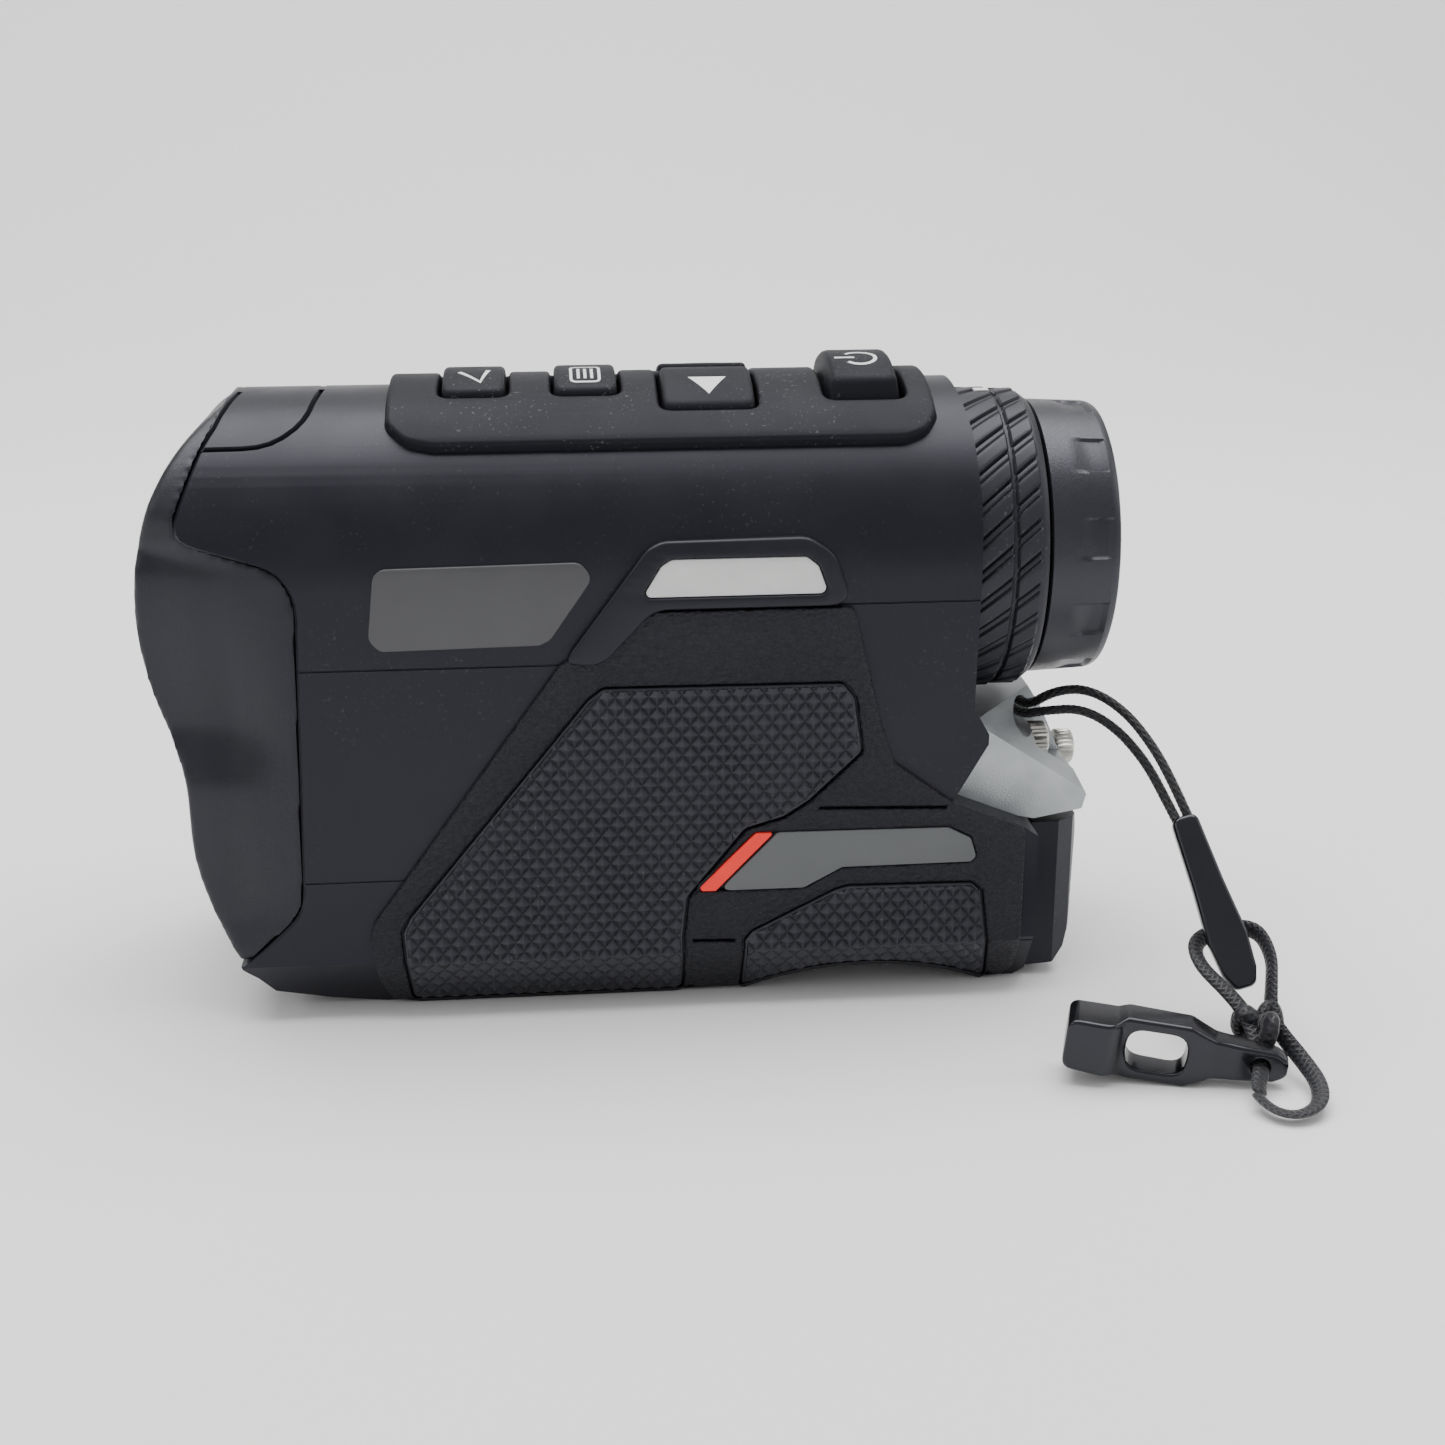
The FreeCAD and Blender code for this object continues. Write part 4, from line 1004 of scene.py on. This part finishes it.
def smooth_line(name, route):
    """Points along the route's NURBS spline, in metres."""
    data = bpy.data.curves.new(name, "CURVE")
    data.dimensions = "3D"
    data.resolution_u = 12
    spline = data.splines.new("NURBS")
    spline.points.add(len(route) - 1)
    for point, place in zip(spline.points, route):
        point.co = (*(Vector(place) * MM), 1)
    spline.order_u = 3
    spline.use_endpoint_u = True
    obj = add(name, data)
    bpy.context.view_layer.update()
    mesh = bpy.data.meshes.new_from_object(obj)
    points = [v.co.copy() for v in mesh.vertices]
    bpy.data.objects.remove(obj)
    bpy.data.meshes.remove(mesh)
    return points


def spaced(points, step):
    """The same line with points a step apart."""
    out, left = [points[0]], step
    for a, b in zip(points, points[1:]):
        length = (b - a).length
        place = left
        while place < length:
            out.append(a.lerp(b, place / length))
            place += step
        left = place - length
    out.append(points[-1])
    return out


def swept(name, points, half_width, half_thick, slot, first_up, sides=14, braid=0.0, twist=None):
    """A tube or band along a line, with UVs round it and in millimetres along it."""
    bm = bmesh.new()
    uv_layer = bm.loops.layers.uv.new("along")
    rows, run = [], 0.0
    up = Vector(first_up).normalized()
    runs = []
    for i, point in enumerate(points):
        ahead = (points[min(i + 1, len(points) - 1)] - points[max(i - 1, 0)]).normalized()
        up = (up - ahead * up.dot(ahead)).normalized()
        across = ahead.cross(up)
        if i:
            run += (point - points[i - 1]).length / MM
        runs.append(run)
        lean = twist(run) if twist else 0.0
        wide = across * math.cos(lean) + up * math.sin(lean)
        thick = up * math.cos(lean) - across * math.sin(lean)
        end = min(1.0, 0.35 + min(run, 0.9) * 0.75) if i < 4 else 1.0
        row = []
        for k in range(sides):
            angle = 2 * math.pi * k / sides
            plait = 1 + braid * math.sin(3 * angle + run * 4.2) * math.sin(3 * angle - run * 4.2)
            spot = wide * (math.cos(angle) * half_width * plait * end)
            spot += thick * (math.sin(angle) * half_thick * plait * end)
            row.append(bm.verts.new(point + spot * MM))
        rows.append(row)
    for i, (first, second) in enumerate(zip(rows, rows[1:])):
        for k in range(sides):
            after = (k + 1) % sides
            face = bm.faces.new([first[k], first[after], second[after], second[k]])
            for loop, uv in zip(face.loops, ((k, i), (k + 1, i), (k + 1, i + 1), (k, i + 1))):
                loop[uv_layer].uv = (uv[0] / sides, runs[uv[1]])
    bm.faces.new(rows[0][::-1])
    bm.faces.new(rows[-1])
    bmesh.ops.recalc_face_normals(bm, faces=bm.faces)
    return piece(name, bm, "housing", slot, 60)


DOWN = Vector((0.214, -0.601, -0.770)).normalized()
FACING = Vector((-0.161, -0.800, 0.579))
ACROSS = DOWN.cross(FACING).normalized()
FACING = ACROSS.cross(DOWN).normalized()
TONGUE_TOP = Vector((78.4, -28.9, 27.6))


def on_tongue(u, v, height):
    return TONGUE_TOP + ACROSS * u - DOWN * v + FACING * height


tongue_shape = [(-1.9, 1.5), (1.9, 1.5), (2.3, -9), (2.9, -17), (2.5, -22), (1.6, -24.5), (-1.6, -24.5),
                (-2.5, -22), (-2.9, -17), (-2.3, -9)]
tongue_loop = dense(rounded(tongue_shape, 1.4), 1.2)
tongue_lines = [((-4, -k * 1.5), (4, -k * 1.5)) for k in range(17)]


def tongue_thickness(u, v):
    """Thick where the strands enter, thinner towards the strap."""
    return 1.3 - 0.35 * min(1.0, max(0.0, (-v - 14) / 8))


tongue = slab("tongue", tongue_loop, on_tongue, tongue_thickness, 0.0, "housing", "fitting_plastic", edge=0.6,
              lines=tongue_lines, shade=50)
back = slab("tongue_back", tongue_loop, lambda u, v, h: on_tongue(u, v, -h), tongue_thickness, 0.0, "housing",
            "fitting_plastic", edge=0.6, lines=tongue_lines, shade=50)
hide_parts("connector")

upper_line = spaced(smooth_line("upper", UPPER_ROUTE), 0.25 * MM)
lower_line = spaced(smooth_line("lower", LOWER_ROUTE), 0.25 * MM)
strap_line = spaced(smooth_line("strap", STRAP_ROUTE), 0.3 * MM)
cord_upper = swept("cord_upper_braid", upper_line, 0.7, 0.7, "cord_fabric", (1, 0, 0), braid=0.1)
cord_lower = swept("cord_lower_braid", lower_line, 0.7, 0.7, "cord_fabric", (1, 0, 0), braid=0.1)
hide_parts("cord_upper")
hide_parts("cord_lower")
strap = swept("strap_band", strap_line, 1.2, 0.5, "strap_fabric", (0.2, -0.9, 0.4), sides=12,
              twist=lambda run: 0.5 * math.sin(run / 9.0))
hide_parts("webbing_loop", "tail_loop")

# The knot: a band wound round itself.
KNOT = Vector((83.9, -49.4, 5.9))
turns = []
for k in range(161):
    t = 2 * math.pi * k / 160
    turns.append((KNOT + Vector((1.5 * (math.sin(t) + 0.95 * math.sin(2 * t)),
                                 1.75 * (math.cos(t) - 0.95 * math.cos(2 * t)),
                                 -1.7 * math.sin(3 * t)))) * MM)
knot = swept("knot_turns", turns, 1.45, 0.95, "strap_fabric", (0, 0, 1), sides=14)
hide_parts("knot")

TOGGLE = Vector((57.4, -46.6, 6.25))
LEAN = math.radians(-17)
NOSE_DOWN = math.radians(6)


def on_floor(u, v, height):
    """The toggle stands on its edge: its length runs along u and its slot looks forwards."""
    along = u * math.cos(NOSE_DOWN) + v * math.sin(NOSE_DOWN)
    up = v * math.cos(NOSE_DOWN) - u * math.sin(NOSE_DOWN)
    return (TOGGLE.x + along * math.cos(LEAN) + height * math.sin(LEAN),
            TOGGLE.y + along * math.sin(LEAN) - height * math.cos(LEAN), TOGGLE.z + up)


TOGGLE_HEIGHTS = [(0, 6.6), (5.6, 6.8), (8.2, 4.6), (17, 4.2), (22, 3.3), (30, 2.4)]


def toggle_top(u, v):
    return eased(TOGGLE_HEIGHTS, u)


toggle_shape = [(0, -3.7), (6.5, -3.9), (8, -4.5), (16.5, -4.5), (20, -2.9), (28.4, -2.2), (30, -1.2),
                (30, 1.2), (28.4, 2.2), (20, 2.9), (16.5, 4.5), (8, 4.5), (6.5, 3.9), (0, 3.7)]
slot_shape = dense(rounded([(8.2, -2.9), (16.4, -2.9), (16.4, 2.9), (8.2, 2.9)], 2.4), 0.9)
eye_angles = [2 * math.pi * k / 20 for k in range(20)]
eye_shape = [(26.3 + 1.0 * math.cos(angle), 1.0 * math.sin(angle)) for angle in eye_angles]
cross_lines = [((k * 0.9, -6), (k * 0.9, 6)) for k in range(1, 33)]
toggle = slab("toggle_body", dense(rounded(toggle_shape, 1.5), 0.9), on_floor, toggle_top, 0.05, "housing",
              "fitting_plastic", holes=(slot_shape, eye_shape), edge=0.55, lines=cross_lines, rings=4,
              shade=45)
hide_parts("toggle")

# ---------------------------------------------------------------- parting grooves and the bezel

PARTING = [(-55.0, 88.4), (-58.9, 83.1), (-62.7, 73.7), (-61.8, 71.2), (-49.3, 67.5), (-46.8, 63.5),
           (-48.6, 18.5), (-50, 15.8), (-55.2, 11), (-58, 8.6), (-66, 8.4)]
COVER_SEAM = [(-63, 82.69), (-50.2, 82.8), (-45.6, 85.2), (-43.6, 88.45)]
MIDDLE_SEAM = [(-47.2, 53.2), (0, 53.2), (8, 60.9), (51, 60.9)]
FOOT_SEAM = [(-48.4, 21.7), (-33, 21.7), (-22, 8.2), (60, 8.2)]


def softened(points, reach):
    """The same line with each inner corner replaced by a short curve."""
    out = [points[0]]
    for before, corner, after in zip(points, points[1:], points[2:]):
        ends = []
        for other in (before, after):
            span = math.hypot(other[0] - corner[0], other[1] - corner[1])
            share = min(reach, 0.45 * span) / span
            ends.append([c + share * (o - c) for c, o in zip(corner, other)])
        for t in (0, 0.33, 0.67, 1):
            weights = ((1 - t) ** 2, 2 * t * (1 - t), t ** 2)
            nodes = (ends[0], corner, ends[1])
            out.append(tuple(sum(w * p[k] for w, p in zip(weights, nodes)) for k in (0, 1)))
    return out + [points[-1]]


def developed(z):
    """Height measured round the skin: above the upper axis it runs along the crown."""
    return z if z <= AXIS else AXIS + SIDE * math.asin(min(1.0, (z - AXIS) / SIDE))


def wrapped(x, s, height, sign):
    """The point a developed height s up the side and height outside the skin, in metres."""
    if s <= AXIS:
        return Vector((x, sign * wall_at(s, height), s)) * MM
    angle = (s - AXIS) / SIDE
    reach = SIDE + height
    return Vector((x, sign * reach * math.cos(angle), AXIS + reach * math.sin(angle))) * MM


def groove(name, route, sign, half_width, depth):
    """A V-shaped cutter that follows a line on the skin."""
    line = [Vector((x, developed(z))) for x, z in route]
    points = []
    for a, b in zip(line, line[1:]):
        steps = max(1, int((b - a).length / 1.0))
        points += [a.lerp(b, k / steps) for k in range(steps)]
    points.append(line[-1])
    bm = bmesh.new()
    rows = []
    outside = 0.6
    wide = half_width * (depth + outside) / depth
    for i, here in enumerate(points):
        ahead = (points[min(i + 1, len(points) - 1)] - points[max(i - 1, 0)]).normalized()
        normal = Vector((-ahead.y, ahead.x))
        row = []
        for offset_by, height in ((-wide, outside), (wide, outside), (0.03, -depth), (-0.03, -depth)):
            spot = here + normal * offset_by
            row.append(bm.verts.new(wrapped(spot.x, spot.y, height, sign)))
        rows.append(row)
    stitch(bm, rows)
    bm.faces.new(rows[0])
    bm.faces.new(rows[-1])
    bmesh.ops.recalc_face_normals(bm, faces=bm.faces)
    return add_mesh(name, bm)


def welded(mesh):
    bm = bmesh.new()
    bm.from_mesh(mesh)
    bmesh.ops.remove_doubles(bm, verts=bm.verts, dist=1e-6)
    return bm


def worked_copy(node, modifiers):
    """A copy of a CAD node's mesh with modifiers applied; the node itself stays as it is."""
    obj = add_mesh(node + "_rough", welded(NODES[node].data))
    for kind, settings in modifiers:
        made = obj.modifiers.new(kind.lower(), kind)
        for key, value in settings.items():
            setattr(made, key, value)
    bpy.context.view_layer.update()
    result = bpy.data.meshes.new_from_object(obj.evaluated_get(bpy.context.evaluated_depsgraph_get()))
    bpy.data.objects.remove(obj)
    return welded(result)


cutters = []
for sign in (-1, 1):
    tag = "near" if sign < 0 else "far"
    cutters.append(groove("cut_parting_" + tag, softened(PARTING, 2.6), sign, 0.35, 0.55))
    cutters.append(groove("cut_cover_" + tag, softened(COVER_SEAM, 3.2), sign, 0.42, 0.7))
    cutters.append(groove("cut_middle_" + tag, MIDDLE_SEAM, sign, 0.13, 0.16))
    cutters.append(groove("cut_foot_" + tag, FOOT_SEAM, sign, 0.13, 0.16))
carving = [("BOOLEAN", {"operation": "DIFFERENCE", "solver": "EXACT", "object": cutter})
           for cutter in cutters]
for node in ("housing_upper", "housing_lower", "base_cover", "front_cover"):
    carved = piece(node + "_carved", worked_copy(node, carving), "housing", "housing_plastic", 30)
    even = carved.modifiers.new("even", "WEIGHTED_NORMAL")
    even.keep_sharp = True
    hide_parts(node)
for cutter in cutters:
    bpy.data.objects.remove(cutter)


def seam_at(z):
    """Where along the body the bezel meets the housing at a height."""
    for (xa, za), (xb, zb) in zip(PARTING, PARTING[1:]):
        if zb <= z <= za:
            return xb + (xa - xb) * (z - zb) / max(za - zb, 1e-6)
    return PARTING[0][0] if z > PARTING[0][1] else PARTING[-1][0]


# How far the bezel's skin lies inside the housing's at each height: two bulges with a waist between them.
HOLLOWS = [(2, 2.2), (18, 1.7), (35, 0.4), (44.5, 2.9), (66, 0.1), (73.5, 1.7), (82, 0.9), (90, 0.9)]


def reach_of(y, z):
    """Distance from the body's middle plane, or from the upper axis above it."""
    return abs(y) if z < AXIS else math.hypot(y, z - AXIS)


bm = worked_copy("bezel", [("REMESH", {"mode": "VOXEL", "voxel_size": 0.5 * MM, "adaptivity": 0.0})])
for vert in bm.verts:
    x, y, z = vert.co / MM
    reach = reach_of(y, z)
    outer = smoothstep(15.0, 21.0, reach)
    step = 0.45 * smoothstep(0.0, 1.2, seam_at(z) - x)
    pull = outer * (step + eased(HOLLOWS, z) * smoothstep(0.5, 11.0, seam_at(z) - x))
    if reach > 1:
        if z < AXIS:
            vert.co.y -= math.copysign(pull, y) * MM
        else:
            vert.co.y -= pull * y / reach * MM
            vert.co.z -= pull * (z - AXIS) / reach * MM
outer_verts = [v for v in bm.verts if reach_of(v.co.y / MM, v.co.z / MM) > 19.0]
for _ in range(6):
    bmesh.ops.smooth_vert(bm, verts=outer_verts, factor=0.5, use_axis_x=True, use_axis_y=True,
                          use_axis_z=True)
bezel = piece("bezel_shaped", bm, "housing", "bezel_plastic", 40)
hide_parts("bezel")

# ---------------------------------------------------------------- carried-over nodes: finish and soft edges

SLOTS = {entry["node"]: entry["material_slot"] for entry in frame["record"]["subparts"]}
EDGES = {
    "lanyard_bracket": 0.35, "battery_door": 0.5, "door_latch": 0.25, "eyepiece_tube": 0.2,
    "objective_ring": 0.15, "receiving_ring": 0.15, "tripod_insert": 0.2, "battery_box": 0.2,
}
for name, obj in NODES.items():
    dress(obj, SLOTS[name])
    if name in EDGES:
        weld = obj.modifiers.new("weld", "WELD")
        weld.merge_threshold = 0.002 * MM
        bevel = obj.modifiers.new("edges", "BEVEL")
        bevel.width = EDGES[name] * MM
        bevel.segments = 3
        bevel.limit_method = "ANGLE"
        bevel.angle_limit = math.radians(38)
